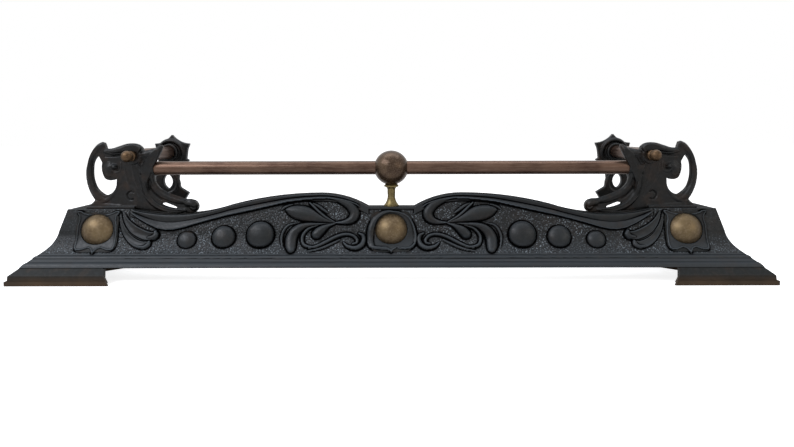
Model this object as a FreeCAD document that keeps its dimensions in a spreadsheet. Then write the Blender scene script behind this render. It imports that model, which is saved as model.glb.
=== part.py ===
import FreeCAD, Part
import math
import os
import Sketcher
from FreeCAD import Placement, Rotation, Vector

# Cast-iron hearth fender: a mitred kerb on three sides, brass rails on cast brackets, brass bosses.
# +X right, +Y back, +Z up. The origin is the middle of the floor area that the fender stands on.
# "set" means a distance back from the front foot edge, and "in" a distance in from an end.

SIZES = {
    # whole fender
    "overall_width": 1350, "overall_depth": 310,
    # kerb section, front foot edge to deck
    "slab_height": 8, "slab_step": 3.5, "toe_set": 4.5, "toe_height": 17,
    "cove_foot_set": 45, "cove_foot_height": 51, "cove_radius": 60,
    "panel_foot_set": 66, "panel_foot_height": 86, "panel_lean": 17,
    "kerb_wall": 4.5, "wall_drop": 3.5, "deck_thickness": 5,
    "deck_height": 125, "flange_behind": 17, "corner_deck_set": 150, "mitre_web": 6,
    # wave along the front's top edge, from the middle
    "platform_half": 43, "platform_rise": 3, "crest_x": 132, "crest_rise": 27.6,
    "shoulder_in": 375, "shoulder_rise": 6, "dip_in": 277, "dip_drop": 10, "block_in": 195,
    # feet
    "foot_length": 181, "foot_draft": 14, "foot_clearance": 28, "side_foot_length": 120,
    "rear_foot_length": 90,
    # relief
    "rim_width": 12, "rim_relief": 2.5, "cartouche_width": 76, "cartouche_bottom": 52,
    "cartouche_relief": 4, "cartouche_corner": 12, "cartouche_border": 5,
    "dome_spacing": 67, "first_dome_in": 302, "small_dome": 34, "middle_dome": 43, "large_dome": 51,
    "dome_bottom": 53, "dome_squash": 0.55,
    # brass bosses
    "boss_diameter": 58, "boss_height": 88, "boss_rise": 16, "boss_wall": 2.5, "boss_in": 137,
    "boss_seat": 3, "seat_margin": 1, "boss_pillar": 12, "boss_stud": 6, "boss_stud_length": 32,
    "boss_nut_side": 11, "boss_nut_thick": 5, "boss_washer": 14, "boss_washer_thick": 1.2,
    # rails
    "rail_tube": 25.4, "rail_wall": 1.2, "rail_behind": 17, "front_rail_rise": 75, "side_rail_rise": 98,
    "side_rail_in": 199, "rod_diameter": 8, "tube_seat": 10, "seat_clearance": 0.2,
    "plug_length": 20, "grub_diameter": 5, "grub_length": 9,
    # ball and post
    "ball_diameter": 64, "ball_flat": 2, "ball_seat": 24, "post_foot": 28, "post_neck": 15,
    "post_collar": 27, "post_foot_height": 2.5, "post_flare": 22, "post_collar_height": 5,
    # corner bracket
    "bracket_thickness": 12, "socket_diameter": 31, "socket_length": 26, "socket_in": 38,
    "hub_diameter": 30, "hub_ahead": 13, "hub_behind": 14, "corner_pad_length": 89,
    "foot_pad_depth": 28, "foot_pad_height": 5, "rear_pad_length": 60,
    # rear bracket
    "rear_bracket_in": 35, "rear_collar": 36, "rear_collar_length": 10,
    # finial and fasteners
    "finial_diameter": 19, "finial_length": 30, "hex_nut": 13, "bolt_diameter": 8, "hex_nut_thick": 6.5,
    "washer_diameter": 17, "washer_thick": 1.6, "hole_clearance": 0.3, "thread_clearance": 0.1,
    "bolt_head_thick": 5.5, "mitre_bolt_set": 100, "low_bolt_height": 52, "high_bolt_height": 96,
    "screw_diameter": 6, "screw_grip": 12, "screw_head": 10, "screw_head_thick": 4,
}

doc = FreeCAD.newDocument("HearthFender")
sheet = doc.addObject("Spreadsheet::Sheet", "Sizes")
for row, (alias, amount) in enumerate(SIZES.items(), start=1):
    sheet.set(f"A{row}", alias)
    sheet.set(f"B{row}", str(amount))
    sheet.setAlias(f"B{row}", alias)
doc.recompute()


class Size:
    """A number that remembers the spreadsheet expression it comes from."""

    def __init__(self, value, text):
        self.value = value
        self.text = text

    @staticmethod
    def of(other):
        return other if isinstance(other, Size) else Size(float(other), repr(float(other)))

    def __add__(self, other):
        other = Size.of(other)
        return Size(self.value + other.value, f"({self.text} + {other.text})")

    def __sub__(self, other):
        other = Size.of(other)
        return Size(self.value - other.value, f"({self.text} - {other.text})")

    def __mul__(self, other):
        other = Size.of(other)
        return Size(self.value * other.value, f"({self.text} * {other.text})")

    def __truediv__(self, other):
        other = Size.of(other)
        return Size(self.value / other.value, f"({self.text} / {other.text})")

    def __neg__(self):
        return Size(-self.value, f"(0 - {self.text})")

    def __radd__(self, other):
        return Size.of(other) + self

    def __rsub__(self, other):
        return Size.of(other) - self

    def __rmul__(self, other):
        return Size.of(other) * self


def size(alias):
    return Size(float(getattr(sheet, alias)), f"Sizes.{alias}")


def root(length):
    return Size(math.sqrt(length.value), f"sqrt({length.text})")


def tangent(angle):
    return Size(math.tan(math.radians(angle.value)), f"tan({angle.text})")


def cosine(angle):
    return Size(math.cos(math.radians(angle.value)), f"cos({angle.text})")


def sine(angle):
    return Size(math.sin(math.radians(angle.value)), f"sin({angle.text})")


def bind(item, prop, amount):
    amount = Size.of(amount)
    item.setExpression(prop, amount.text)


def place(item, at, rotation=None):
    """Put an object at three sizes, turned by a fixed rotation."""
    values = [Size.of(part).value for part in at]
    item.Placement = Placement(Vector(*values), rotation or Rotation())
    for axis, part in zip("xyz", at):
        bind(item, f"Placement.Base.{axis}", part)
    return item


# ---- building blocks ----

ALONG_X = Rotation(Vector(0, 1, 0), 90)
ALONG_Y = Rotation(Vector(1, 0, 0), -90)
ALONG_Z = Rotation()
FACING_FRONT = Rotation(Vector(1, 0, 0), 90)
FACING_RIGHT = Rotation(Vector(0, 1, 0), Vector(0, 0, 1), Vector(1, 0, 0), "XYZ")
FACING_BACK = Rotation(Vector(-1, 0, 0), Vector(0, 0, 1), Vector(0, 1, 0), "XYZ")


def cylinder(name, diameter, length, at, direction=ALONG_Z):
    item = doc.addObject("Part::Cylinder", name)
    bind(item, "Radius", Size.of(diameter) / 2)
    bind(item, "Height", length)
    return place(item, at, direction)


def block(name, length, width, height, at):
    item = doc.addObject("Part::Box", name)
    bind(item, "Length", length)
    bind(item, "Width", width)
    bind(item, "Height", height)
    return place(item, at)


def prism(name, sides, across_flats, length, at, direction=ALONG_Z):
    """A nut or bolt head with this many sides."""
    item = doc.addObject("Part::Prism", name)
    item.Polygon = sides
    bind(item, "Circumradius", Size.of(across_flats) / (2 * math.cos(math.pi / sides)))
    bind(item, "Height", length)
    return place(item, at, direction)


def joined(name, *shapes):
    item = doc.addObject("Part::MultiFuse", name)
    item.Shapes = list(shapes)
    return item


def shared(name, *shapes):
    item = doc.addObject("Part::MultiCommon", name)
    item.Shapes = list(shapes)
    return item


def cut(name, base, *tools):
    item = doc.addObject("Part::Cut", name)
    item.Base = base
    item.Tool = tools[0] if len(tools) == 1 else joined(f"{name}_tools", *tools)
    return item


def group(name, shapes):
    item = doc.addObject("Part::Compound", name)
    item.Links = list(shapes)
    return item


def mirrored(name, source):
    """The same piece on the other side of the middle plane."""
    item = doc.addObject("Part::Mirroring", name)
    item.Source = source
    item.Normal = Vector(1, 0, 0)
    return item


def arc_centre(start, end, radius):
    """Centre of an arc that bulges to the left of travel for a positive radius."""
    middle = (start + end) / 2
    half = (end - start) / 2
    reach = math.sqrt(max(radius * radius - half.Length ** 2, 0.0))
    right = Vector(half.y, -half.x, 0).normalize()
    return middle + right * math.copysign(reach, radius)


def draw(sketch, steps):
    """Draw a closed outline. A step is a corner (across, up); a third size is the radius of an arc
    that ends there, positive when the arc bulges to the left of travel."""
    steps = [tuple(Size.of(part) for part in step) for step in steps]
    corners = [Vector(step[0].value, step[1].value, 0) for step in steps]
    starts = []
    ends = []
    for index, step in enumerate(steps):
        start = corners[index - 1]
        end = corners[index]
        if len(step) == 2:
            sketch.addGeometry(Part.LineSegment(start, end), False)
            first, last = 1, 2
        else:
            centre = arc_centre(start, end, step[2].value)
            from_start = math.atan2(start.y - centre.y, start.x - centre.x)
            from_end = math.atan2(end.y - centre.y, end.x - centre.x)
            first, last = (2, 1) if step[2].value > 0 else (1, 2)
            angles = (from_end, from_start) if step[2].value > 0 else (from_start, from_end)
            circle = Part.Circle(centre, Vector(0, 0, 1), abs(step[2].value))
            sketch.addGeometry(Part.ArcOfCircle(circle, *angles), False)
        starts.append((index, first))
        ends.append((index, last))
    count = len(steps)
    for index, step in enumerate(steps):
        following = (index + 1) % count
        pin(sketch, "DistanceX", ends[index], step[0])
        pin(sketch, "DistanceY", ends[index], step[1])
        sketch.addConstraint(Sketcher.Constraint("Coincident", *ends[index], *starts[following]))
        if len(step) == 3:
            radius = step[2] if step[2].value > 0 else -step[2]
            number = sketch.addConstraint(Sketcher.Constraint("Radius", index, radius.value))
            bind(sketch, f"Constraints[{number}]", radius)


def pin(sketch, kind, vertex, amount):
    """Fix one vertex's distance from the sketch's origin along one axis."""
    number = sketch.addConstraint(Sketcher.Constraint(kind, -1, 1, *vertex, amount.value))
    bind(sketch, f"Constraints[{number}]", amount)


def plate(name, steps, plane, at, forward, backward=0):
    """A flat solid: an outline in a plane, thickened along the plane's normal."""
    sketch = doc.addObject("Sketcher::SketchObject", f"{name}_outline")
    place(sketch, at, plane)
    draw(sketch, steps)
    item = doc.addObject("Part::Extrusion", name)
    item.Base = sketch
    item.DirMode = "Normal"
    item.Solid = True
    bind(item, "LengthFwd", forward)
    bind(item, "LengthRev", backward)
    return item


def turned(name, steps, at, direction=ALONG_Z):
    """A turned piece: an outline of (radius, height) corners revolved round its axis."""
    body = doc.addObject("PartDesign::Body", name)
    plane = next(part for part in body.Origin.OriginFeatures if part.Role == "XZ_Plane")
    sketch = body.newObject("Sketcher::SketchObject", f"{name}_profile")
    sketch.AttachmentSupport = [(plane, "")]
    sketch.MapMode = "FlatFace"
    draw(sketch, steps)
    doc.recompute()
    spin = body.newObject("PartDesign::Revolution", f"{name}_turning")
    spin.Profile = sketch
    spin.ReferenceAxis = (sketch, ["V_Axis"])
    spin.Angle = 360
    return place(body, at, direction)


# ---- places that several pieces share ----

half_width = size("overall_width") / 2
depth = size("overall_depth")
front = -depth / 2
lean = size("panel_lean")
deck = size("deck_height")
deck_thickness = size("deck_thickness")
corner_deck_set = size("corner_deck_set")
panel_top_set = size("panel_foot_set") + (deck - size("panel_foot_height")) * tangent(lean)
rail_set = panel_top_set + size("rail_behind")
rail_y = front + rail_set
flange_set = rail_set + size("flange_behind")
hub_front = rail_y - size("hub_ahead")
hub_back = rail_y + size("hub_behind")
front_rail_z = deck + size("front_rail_rise")
side_rail_z = deck + size("side_rail_rise")
side_rail_x = half_width - size("side_rail_in")
clearance = size("hole_clearance")
thread = size("thread_clearance")
rod = size("rod_diameter")
rod_hole = rod + clearance * 2
tube = size("rail_tube")
tube_hole = tube + size("seat_clearance") * 2
tube_seat = size("tube_seat")
platform_z = deck + size("platform_rise")
crest_z = deck + size("crest_rise")
casting_top = crest_z + size("rim_width")
block_x = half_width - size("block_in")
foot_x = half_width - size("foot_length")
foot_clearance = size("foot_clearance")
foot_draft = size("foot_draft")
web = size("mitre_web")
web_across = web * math.sqrt(2)
bracket_thickness = size("bracket_thickness")
bracket_face_y = rail_y - bracket_thickness / 2
rear_y = depth / 2 - size("rear_bracket_in")
rear_face_y = rear_y - bracket_thickness / 2
nut_thick = size("hex_nut_thick")
washer_thick = size("washer_thick")
boss_places = {
    "left_boss": -(half_width - size("boss_in")),
    "centre_boss": Size.of(0),
    "right_boss": half_width - size("boss_in"),
}


def panel_set(height):
    """How far back the sloped front panel is at a height."""
    return size("panel_foot_set") + (height - size("panel_foot_height")) * tangent(lean)


def on_panel(item, x, height, lift):
    """Stand a piece on the front panel, its own Z axis square to the panel and pointing out."""
    y = front + panel_set(height) - cosine(lean) * lift
    z = height + sine(lean) * lift
    place(item, (x, y, z), Rotation(Vector(1, 0, 0), 90 - lean.value))
    bind(item, "Placement.Rotation.Angle", 90 - lean)
    return item


def level_arc(across, up):
    """Radius of an arc that is level at one end and reaches this far across and up."""
    return (across * across + up * up) / (up * 2)


# ---- kerb castings ----

def kerb_section(name, plane, at, length, backward=0):
    """The solid kerb, foot edge to the back of the deck, before it is hollowed."""
    steps = [
        (corner_deck_set, 0),
        (corner_deck_set, casting_top),
        (panel_set(casting_top), casting_top),
        (size("panel_foot_set"), size("panel_foot_height")),
        (size("cove_foot_set"), size("cove_foot_height"), size("cove_radius")),
        (size("toe_set"), size("toe_height")),
        (size("slab_step"), size("slab_height")),
        (0, size("slab_height")),
        (0, 0),
    ]
    return plate(name, steps, plane, at, length, backward)


def front_elevation(name, ease=0, drop=0):
    """The front seen square on, feet and wave-shaped top edge; ease shortens feet, drop lowers it."""
    ease = Size.of(ease)
    crest = (size("crest_x"), crest_z - drop)
    shoulder = (half_width - size("shoulder_in"), deck + size("shoulder_rise") - drop)
    dip = (half_width - size("dip_in"), deck - size("dip_drop") - drop)
    platform = (size("platform_half"), platform_z - drop)
    top = deck - drop
    gap_top = foot_clearance - drop
    crest_in = level_arc(crest[0] - platform[0], crest[1] - platform[1])
    crest_out = level_arc(shoulder[0] - crest[0], crest[1] - shoulder[1])
    dip_in = level_arc(dip[0] - shoulder[0], shoulder[1] - dip[1])
    dip_out = level_arc(block_x - dip[0], top - dip[1])
    steps = [
        (half_width, -Size.of(drop)),
        (half_width, top),
        (block_x, top),
        (*dip, dip_out),
        (*shoulder, dip_in),
        (*crest, -crest_out),
        (*platform, -crest_in),
        (-platform[0], platform[1]),
        (-crest[0], crest[1], -crest_in),
        (-shoulder[0], shoulder[1], -crest_out),
        (-dip[0], dip[1], dip_in),
        (-block_x, top, dip_out),
        (-half_width, top),
        (-half_width, -Size.of(drop)),
        (-(foot_x + ease), -Size.of(drop)),
        (-(foot_x + foot_draft + ease), gap_top),
        (foot_x + foot_draft + ease, gap_top),
        (foot_x + ease, -Size.of(drop)),
    ]
    return plate(name, steps, FACING_FRONT, (0, 0, 0), depth, depth)


def front_kerb():
    wall = size("kerb_wall")
    solid_section = kerb_section("front_section", FACING_RIGHT, (0, front, 0), half_width, half_width)
    plan = plate("front_plan", [
        (-half_width, 0), (half_width, 0),
        (half_width - corner_deck_set, corner_deck_set), (block_x, corner_deck_set),
        (block_x, flange_set), (-block_x, flange_set),
        (-block_x, corner_deck_set), (corner_deck_set - half_width, corner_deck_set),
    ], ALONG_Z, (0, front, -foot_clearance), casting_top * 2)
    elevation = front_elevation("front_outline")
    blank = shared("front_blank", solid_section, plan, elevation)

    proud_section = kerb_section("rim_section", FACING_RIGHT, (0, front - size("rim_relief"), 0),
                                 half_width, half_width)
    below_rim = front_elevation("below_rim", 0, size("rim_width"))
    rim_span = plate("right_rim_span", [
        (size("platform_half"), 0), (block_x, 0), (block_x, corner_deck_set),
        (size("platform_half"), corner_deck_set),
    ], ALONG_Z, (0, front, 0), casting_top)
    rim_spans = joined("rim_spans", rim_span, mirrored("left_rim_span", rim_span))
    rim = cut("rim", shared("rim_blank", proud_section, plan, elevation, rim_spans), below_rim)
    cartouches = [cartouche(f"{name}_cartouche", x, plan) for name, x in boss_places.items()]

    reach = corner_deck_set + foot_clearance
    inner_end = half_width - web_across
    hollow_section = kerb_section("front_hollow_section", FACING_RIGHT,
                                  (0, front + wall, -size("wall_drop")), half_width, half_width)
    hollow_plan = plate("front_hollow_plan", [
        (-inner_end, 0), (inner_end, 0), (inner_end - reach, reach), (reach - inner_end, reach),
    ], ALONG_Z, (0, front, -foot_clearance), casting_top * 2)
    # the two feet are open at their inner ends, so only the thickness of the casting shows there
    hollow = shared("front_hollow", hollow_section, hollow_plan,
                    front_elevation("front_hollow_outline", -wall, deck_thickness))
    holes = [cylinder("post_hole", rod_hole, casting_top, (0, rail_y, foot_clearance))]
    holes += boss_seats()
    for place_name, hole in corner_holes("front").items():
        holes += [hole, mirrored(f"left_{place_name}", hole)]
    cast = joined("front_cast", blank, rim, *cartouches, *iron_domes())
    return cut("front_kerb", cut("front_shell", cast, hollow), *holes)


def cartouche(name, x, plan):
    """A raised plate on the panel behind a brass boss, with rounded corners, within the plan."""
    half = size("cartouche_width") / 2
    corner = size("cartouche_corner")
    low = size("cartouche_bottom")
    high = deck - size("cartouche_border")
    outline = plate(f"{name}_outline", [
        (x + half - corner, low), (x + half, low + corner, -corner),
        (x + half, high - corner), (x + half - corner, high, -corner),
        (x - half + corner, high), (x - half, high - corner, -corner),
        (x - half, low + corner), (x - half + corner, low, -corner),
    ], FACING_FRONT, (0, 0, 0), depth)
    relief = kerb_section(f"{name}_relief", FACING_RIGHT,
                          (x - half, front - size("cartouche_relief"), 0), half * 2)
    return shared(name, outline, relief, plan)


def iron_domes():
    """Three cast domes of growing size on each side, their lower edges in one line."""
    domes = []
    names = ("small_dome", "middle_dome", "large_dome")
    for number, name in enumerate(names):
        radius = size(name) / 2
        x = half_width - size("first_dome_in") - size("dome_spacing") * number
        height = size("dome_bottom") + radius
        for side, offset in (("right", x), ("left", -x)):
            dome = doc.addObject("Part::Ellipsoid", f"{side}_{name}")
            bind(dome, "Radius1", radius * size("dome_squash"))
            bind(dome, "Radius2", radius)
            bind(dome, "Radius3", radius)
            domes.append(on_panel(dome, offset, height, 0))
    return domes


def panel_back():
    """Distance from the panel's face to the flat behind it, square to the panel."""
    return size("kerb_wall") * cosine(lean) + size("wall_drop") * sine(lean)


def boss_seats():
    """Spot faces before and behind the panel, and a stud hole, for each brass boss."""
    tools = []
    face = size("boss_diameter") + size("seat_margin") * 2
    back = size("boss_washer") + size("seat_margin") * 2
    length = size("boss_stud_length")
    for name, x in boss_places.items():
        seat = doc.addObject("Part::Cylinder", f"{name}_seat")
        bind(seat, "Radius", face / 2)
        bind(seat, "Height", length)
        tools.append(on_panel(seat, x, size("boss_height"), size("boss_seat")))
        behind = doc.addObject("Part::Cylinder", f"{name}_nut_seat")
        bind(behind, "Radius", back / 2)
        bind(behind, "Height", length)
        tools.append(on_panel(behind, x, size("boss_height"), -(panel_back() + length)))
        hole = doc.addObject("Part::Cylinder", f"{name}_stud_hole")
        bind(hole, "Radius", size("boss_stud") / 2 + clearance)
        bind(hole, "Height", length * 2)
        tools.append(on_panel(hole, x, size("boss_height"), -length))
    return tools


TOWARDS_RETURN = Rotation(Vector(0, 0, 1), Vector(1, 1, 0))


def mitre_place(name, make, along):
    """A piece on each of the right corner's two bolt axes, this far past the mitre."""
    spot = size("mitre_bolt_set")
    shift = along / math.sqrt(2)
    x = half_width - spot + shift
    y = front + spot + shift
    heights = {"low": size("low_bolt_height"), "high": size("high_bolt_height")}
    return {f"{level}_{name}": make(f"{level}_{name}", (x, y, height), TOWARDS_RETURN)
            for level, height in heights.items()}


def corner_holes(casting):
    """Holes in the right corner: mitre bolts, and the corner bracket's screws in the front deck."""
    length = web * 4

    def bolt_hole(name, at, direction):
        return cylinder(name, size("bolt_diameter") + clearance * 2, length, at, direction)

    holes = mitre_place(f"{casting}_bolt_hole", bolt_hole, -web * 2)
    if casting == "front":
        for name, x in corner_screw_places().items():
            holes[name] = screw_hole(f"{name}_hole", x, rail_y)
    return holes


def screw_hole(name, x, y):
    return cylinder(name, size("screw_diameter") + clearance * 2, deck_thickness * 4,
                    (x, y, deck - deck_thickness * 2))


def corner_screw_places():
    return {"stem_screw": side_rail_x + 12, "handle_screw": side_rail_x + 64}


def rear_screw_places():
    return {"inner_screw": side_rail_x + 66, "outer_screw": side_rail_x + 98}


def return_elevation(name, ease=0, drop=0):
    """The right return seen from the side, two feet and a level deck."""
    ease = Size.of(ease)
    drop = Size.of(drop)
    foot = size("side_foot_length") - ease
    rear_foot = depth - size("rear_foot_length") + ease
    steps = [
        (0, -drop), (foot, -drop), (foot - foot_draft, foot_clearance - drop),
        (rear_foot + foot_draft, foot_clearance - drop), (rear_foot, -drop),
        (depth - ease, -drop), (depth - ease, deck - drop), (0, deck - drop),
    ]
    return plate(name, steps, FACING_RIGHT, (0, front, 0), half_width * 2)


def right_return():
    wall = size("kerb_wall")
    solid_section = kerb_section("return_section", FACING_BACK, (half_width, front, 0), depth)
    plan = plate("return_plan", [
        (half_width, 0), (half_width, depth),
        (half_width - corner_deck_set, depth), (half_width - corner_deck_set, corner_deck_set),
    ], ALONG_Z, (0, front, -foot_clearance), casting_top * 2)
    blank = shared("return_blank", solid_section, plan, return_elevation("return_outline"))
    reach = corner_deck_set + foot_clearance
    hollow_section = kerb_section("return_hollow_section", FACING_BACK,
                                  (half_width - wall, front, -size("wall_drop")), depth)
    hollow_plan = plate("return_hollow_plan", [
        (half_width, web_across), (half_width, depth),
        (half_width - reach, depth), (half_width - reach, reach + web_across),
    ], ALONG_Z, (0, front, -foot_clearance), casting_top * 2)
    hollow = shared("return_hollow", hollow_section, hollow_plan,
                    return_elevation("return_hollow_outline", wall, deck_thickness))
    holes = list(corner_holes("return").values())
    holes += [screw_hole(f"{name}_hole", x, rear_y) for name, x in rear_screw_places().items()]
    return cut("right_return", cut("return_shell", blank, hollow), *holes)


# ---- brackets ----

def right_corner_bracket():
    """Plate with a C-shaped handle, a head that carries both rails, and a scroll arm along the kerb."""
    x = side_rail_x
    rail = front_rail_z
    head = side_rail_z
    outline = [
        (x + 89, deck), (x + 89, deck + 4), (x + 76, deck + 16),
        (x + 54, head + 25, -74), (x + 50, head + 12), (x + 36, head + 9),
        (x - 21, head + 7, -40), (x - 48, head + 6), (x - 28, head - 4),
        (x - 36, rail + 12), (x - 36, deck + 46), (x - 47, deck + 31), (x - 63, deck + 21),
        (x - 106, deck + 16), (x - 106, deck - 8.4, -12.5), (x, deck, -650),
    ]
    handle_opening = [
        (x + 66, head + 2), (x + 58, deck + 25, 46), (x + 34, deck + 48, 24),
        (x + 33, rail - 17), (x + 56, rail - 18, -16), (x + 59, head - 12, -40),
    ]
    slot = [
        (x - 42, deck + 9), (x - 50, deck + 3), (x - 72, deck - 1), (x - 78, deck + 2),
        (x - 56, deck + 11),
    ]
    flat = plate("corner_plate", outline, FACING_FRONT, (0, rail_y, 0),
                 bracket_thickness / 2, bracket_thickness / 2)
    pad_depth = size("foot_pad_depth")
    socket_end = x - size("socket_in")
    solid = joined(
        "corner_solid", flat,
        block("corner_pad", size("corner_pad_length"), pad_depth, size("foot_pad_height"),
              (x, rail_y - pad_depth / 2, deck)),
        cylinder("corner_hub", size("hub_diameter"), hub_back - hub_front, (x, hub_front, head), ALONG_Y),
        cylinder("corner_socket", size("socket_diameter"), size("socket_length"),
                 (socket_end, rail_y, rail), ALONG_X),
    )
    openings = [
        plate("handle_opening", handle_opening, FACING_FRONT, (0, rail_y, 0), pad_depth, pad_depth),
        plate("arm_slot", slot, FACING_FRONT, (0, rail_y, 0), pad_depth, pad_depth),
        cylinder("front_rail_seat", tube_hole, tube_seat, (socket_end, rail_y, rail), ALONG_X),
        cylinder("side_rail_seat", tube_hole, tube_seat, (x, hub_back - tube_seat, head), ALONG_Y),
        cylinder("hub_rod_hole", rod_hole, depth, (x, front, head), ALONG_Y),
        cylinder("grub_hole", size("grub_diameter") + thread * 2, size("socket_diameter"),
                 (grub_x(), rail_y + tube / 2 - size("rail_wall") * 2, rail), ALONG_Y),
    ]
    openings += [tapped_hole(name, place_x, rail_y) for name, place_x in corner_screw_places().items()]
    return cut("right_corner_bracket", solid, *openings)


def tapped_hole(name, x, y):
    return cylinder(f"{name}_thread", size("screw_diameter") + thread * 2, size("screw_grip") + 1,
                    (x, y, deck))


def grub_x():
    return side_rail_x - size("socket_in") + tube_seat / 2


def right_rear_bracket():
    """Crested plate that stands on the return's deck and leans in to carry the side rail."""
    x = side_rail_x
    rail = side_rail_z
    outline = [
        (x + 52, deck), (x + 112, deck), (x + 112, deck + 4), (x + 46, rail - 60, 80),
        (x + 26, rail - 32, 40), (x + 30, rail + 6), (x + 33, rail + 19), (x - 4, rail + 38, 45),
        (x - 41, rail + 19, 45), (x - 36, rail + 6), (x - 33, rail - 14), (x - 40, rail - 17),
        (x - 28, rail - 24), (x - 16, rail - 46), (x - 14, rail - 62), (x - 18, rail - 76),
        (x - 36, rail - 87), (x - 28, rail - 100), (x - 2, rail - 105, -36), (x + 46, deck - 5),
        (x + 46, deck),
    ]
    oval = [(x + 8, rail - 78, 18), (x + 8, rail - 46, 18)]
    flat = plate("rear_plate", outline, FACING_FRONT, (0, rear_y, 0),
                 bracket_thickness / 2, bracket_thickness / 2)
    pad_depth = size("foot_pad_depth")
    collar = size("rear_collar_length")
    solid = joined(
        "rear_solid", flat,
        block("rear_pad", size("rear_pad_length"), pad_depth, size("foot_pad_height"),
              (x + 52, rear_y - pad_depth / 2, deck)),
        cylinder("rear_collar", size("rear_collar"), collar, (x, rear_face_y - collar, rail), ALONG_Y),
    )
    openings = [
        plate("oval_opening", oval, FACING_FRONT, (0, rear_y, 0), pad_depth, pad_depth),
        cylinder("rear_rail_seat", tube_hole, tube_seat, (x, rear_face_y - collar, rail), ALONG_Y),
        cylinder("rear_rod_hole", rod_hole, depth, (x, rail_y, rail), ALONG_Y),
    ]
    openings += [tapped_hole(name, place_x, rear_y) for name, place_x in rear_screw_places().items()]
    return cut("right_rear_bracket", solid, *openings)


# ---- rails, ball and post ----

def pipe(name, length, at, direction, *side_holes):
    bore = tube - size("rail_wall") * 2
    outside = cylinder(f"{name}_outside", tube, length, at, direction)
    inside = cylinder(f"{name}_bore", bore, length, at, direction)
    return cut(name, outside, inside, *side_holes)


def front_rail_end():
    return side_rail_x - size("socket_in") + tube_seat


def right_front_rail():
    start = size("ball_seat")
    grub = cylinder("rail_grub_hole", size("grub_diameter") + clearance * 2, tube,
                    (grub_x(), rail_y, front_rail_z), ALONG_Y)
    return pipe("right_front_rail", front_rail_end() - start, (start, rail_y, front_rail_z), ALONG_X, grub)


def side_rail_start():
    return hub_back - tube_seat


def side_rail_end():
    return rear_face_y - size("rear_collar_length") + tube_seat


def right_side_rail():
    length = side_rail_end() - side_rail_start()
    return pipe("right_side_rail", length, (side_rail_x, side_rail_start(), side_rail_z), ALONG_Y)


def rail_plugs():
    """Brazed plugs in the ends of the front rails, tapped for the ball's stud and the grub screws."""
    diameter = tube - size("rail_wall") * 2
    length = size("plug_length")
    start = size("ball_seat")
    end = front_rail_end()
    inner = cut(
        "ball_end_plug", cylinder("ball_end_slug", diameter, length, (start, rail_y, front_rail_z), ALONG_X),
        cylinder("ball_end_thread", rod + thread * 2, length, (start, rail_y, front_rail_z), ALONG_X))
    outer = cut(
        "socket_end_plug",
        cylinder("socket_end_slug", diameter, length, (end - length, rail_y, front_rail_z), ALONG_X),
        cylinder("socket_end_thread", size("grub_diameter") + thread * 2, tube,
                 (grub_x(), rail_y, front_rail_z), ALONG_Y))
    plugs = [inner, outer]
    return group("rail_plugs", plugs + [mirrored(f"left_{plug.Name}", plug) for plug in plugs])


def grub_screws():
    screw = cylinder("right_grub_screw", size("grub_diameter"), size("grub_length"),
                     (grub_x(), rail_y + rod, front_rail_z), ALONG_Y)
    return group("rail_grub_screws", [screw, mirrored("left_grub_screw", screw)])


def ball_stud():
    reach = size("ball_seat") + size("plug_length") * 0.75
    return cylinder("ball_stud", rod, reach * 2, (-reach, rail_y, front_rail_z), ALONG_X)


def ball_bottom_z():
    return front_rail_z - size("ball_diameter") / 2 + size("ball_flat")


def post_stud_top():
    return front_rail_z - rod


def rail_ball():
    ball = doc.addObject("Part::Sphere", "ball_blank")
    radius = size("ball_diameter") / 2
    bind(ball, "Radius", radius)
    place(ball, (0, rail_y, front_rail_z))
    seat = size("ball_seat")
    tools = [
        cylinder("ball_right_seat", tube_hole, radius, (seat, rail_y, front_rail_z), ALONG_X),
        cylinder("ball_left_seat", tube_hole, radius, (-seat - radius, rail_y, front_rail_z), ALONG_X),
        cylinder("ball_stud_hole", rod_hole, radius * 2, (-radius, rail_y, front_rail_z), ALONG_X),
        cylinder("ball_flat_cut", radius * 2, radius, (0, rail_y, ball_bottom_z() - radius)),
        cylinder("ball_post_thread", rod + thread * 2, radius * 2,
                 (0, rail_y, post_stud_top() + thread - radius * 2)),
    ]
    return cut("rail_ball", ball, *tools)


def rail_post():
    bore = rod_hole / 2
    foot = size("post_foot") / 2
    foot_height = size("post_foot_height")
    neck = size("post_neck") / 2
    collar = size("post_collar") / 2
    collar_height = size("post_collar_height")
    height = ball_bottom_z() - platform_z
    foot_cove = foot - neck
    collar_cove = collar - neck
    steps = [
        (bore, 0), (foot, 0), (foot, foot_height),
        (neck, foot_height + size("post_flare"), foot_cove * 4),
        (neck, height - collar_height - collar_cove),
        (collar, height - collar_height, collar_cove),
        (collar, height - collar_height / 2),
        (neck + 3, height), (bore, height),
    ]
    return turned("rail_post", steps, (0, rail_y, platform_z))


def post_nut_z():
    return platform_z - deck_thickness - washer_thick - nut_thick


def post_stud():
    low = post_nut_z() - thread * 20
    return cylinder("post_stud", rod, post_stud_top() - low, (0, rail_y, low))


# ---- fasteners ----

def hex_nut(name, at, direction, bore):
    blank = prism(f"{name}_blank", 6, size("hex_nut"), nut_thick, at, direction)
    return cut(name, blank, cylinder(f"{name}_thread", bore, nut_thick, at, direction))


def washer(name, outside, bore, thickness, at, direction):
    return cut(name, cylinder(f"{name}_disc", outside, thickness, at, direction),
               cylinder(f"{name}_bore", bore, thickness, at, direction))


def right_side_rod():
    start = hub_front - size("finial_length") * 0.6
    end = rear_y + bracket_thickness / 2 + washer_thick + nut_thick + thread * 20
    return cylinder("right_tie_rod", rod, end - start, (side_rail_x, start, side_rail_z), ALONG_Y)


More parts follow.
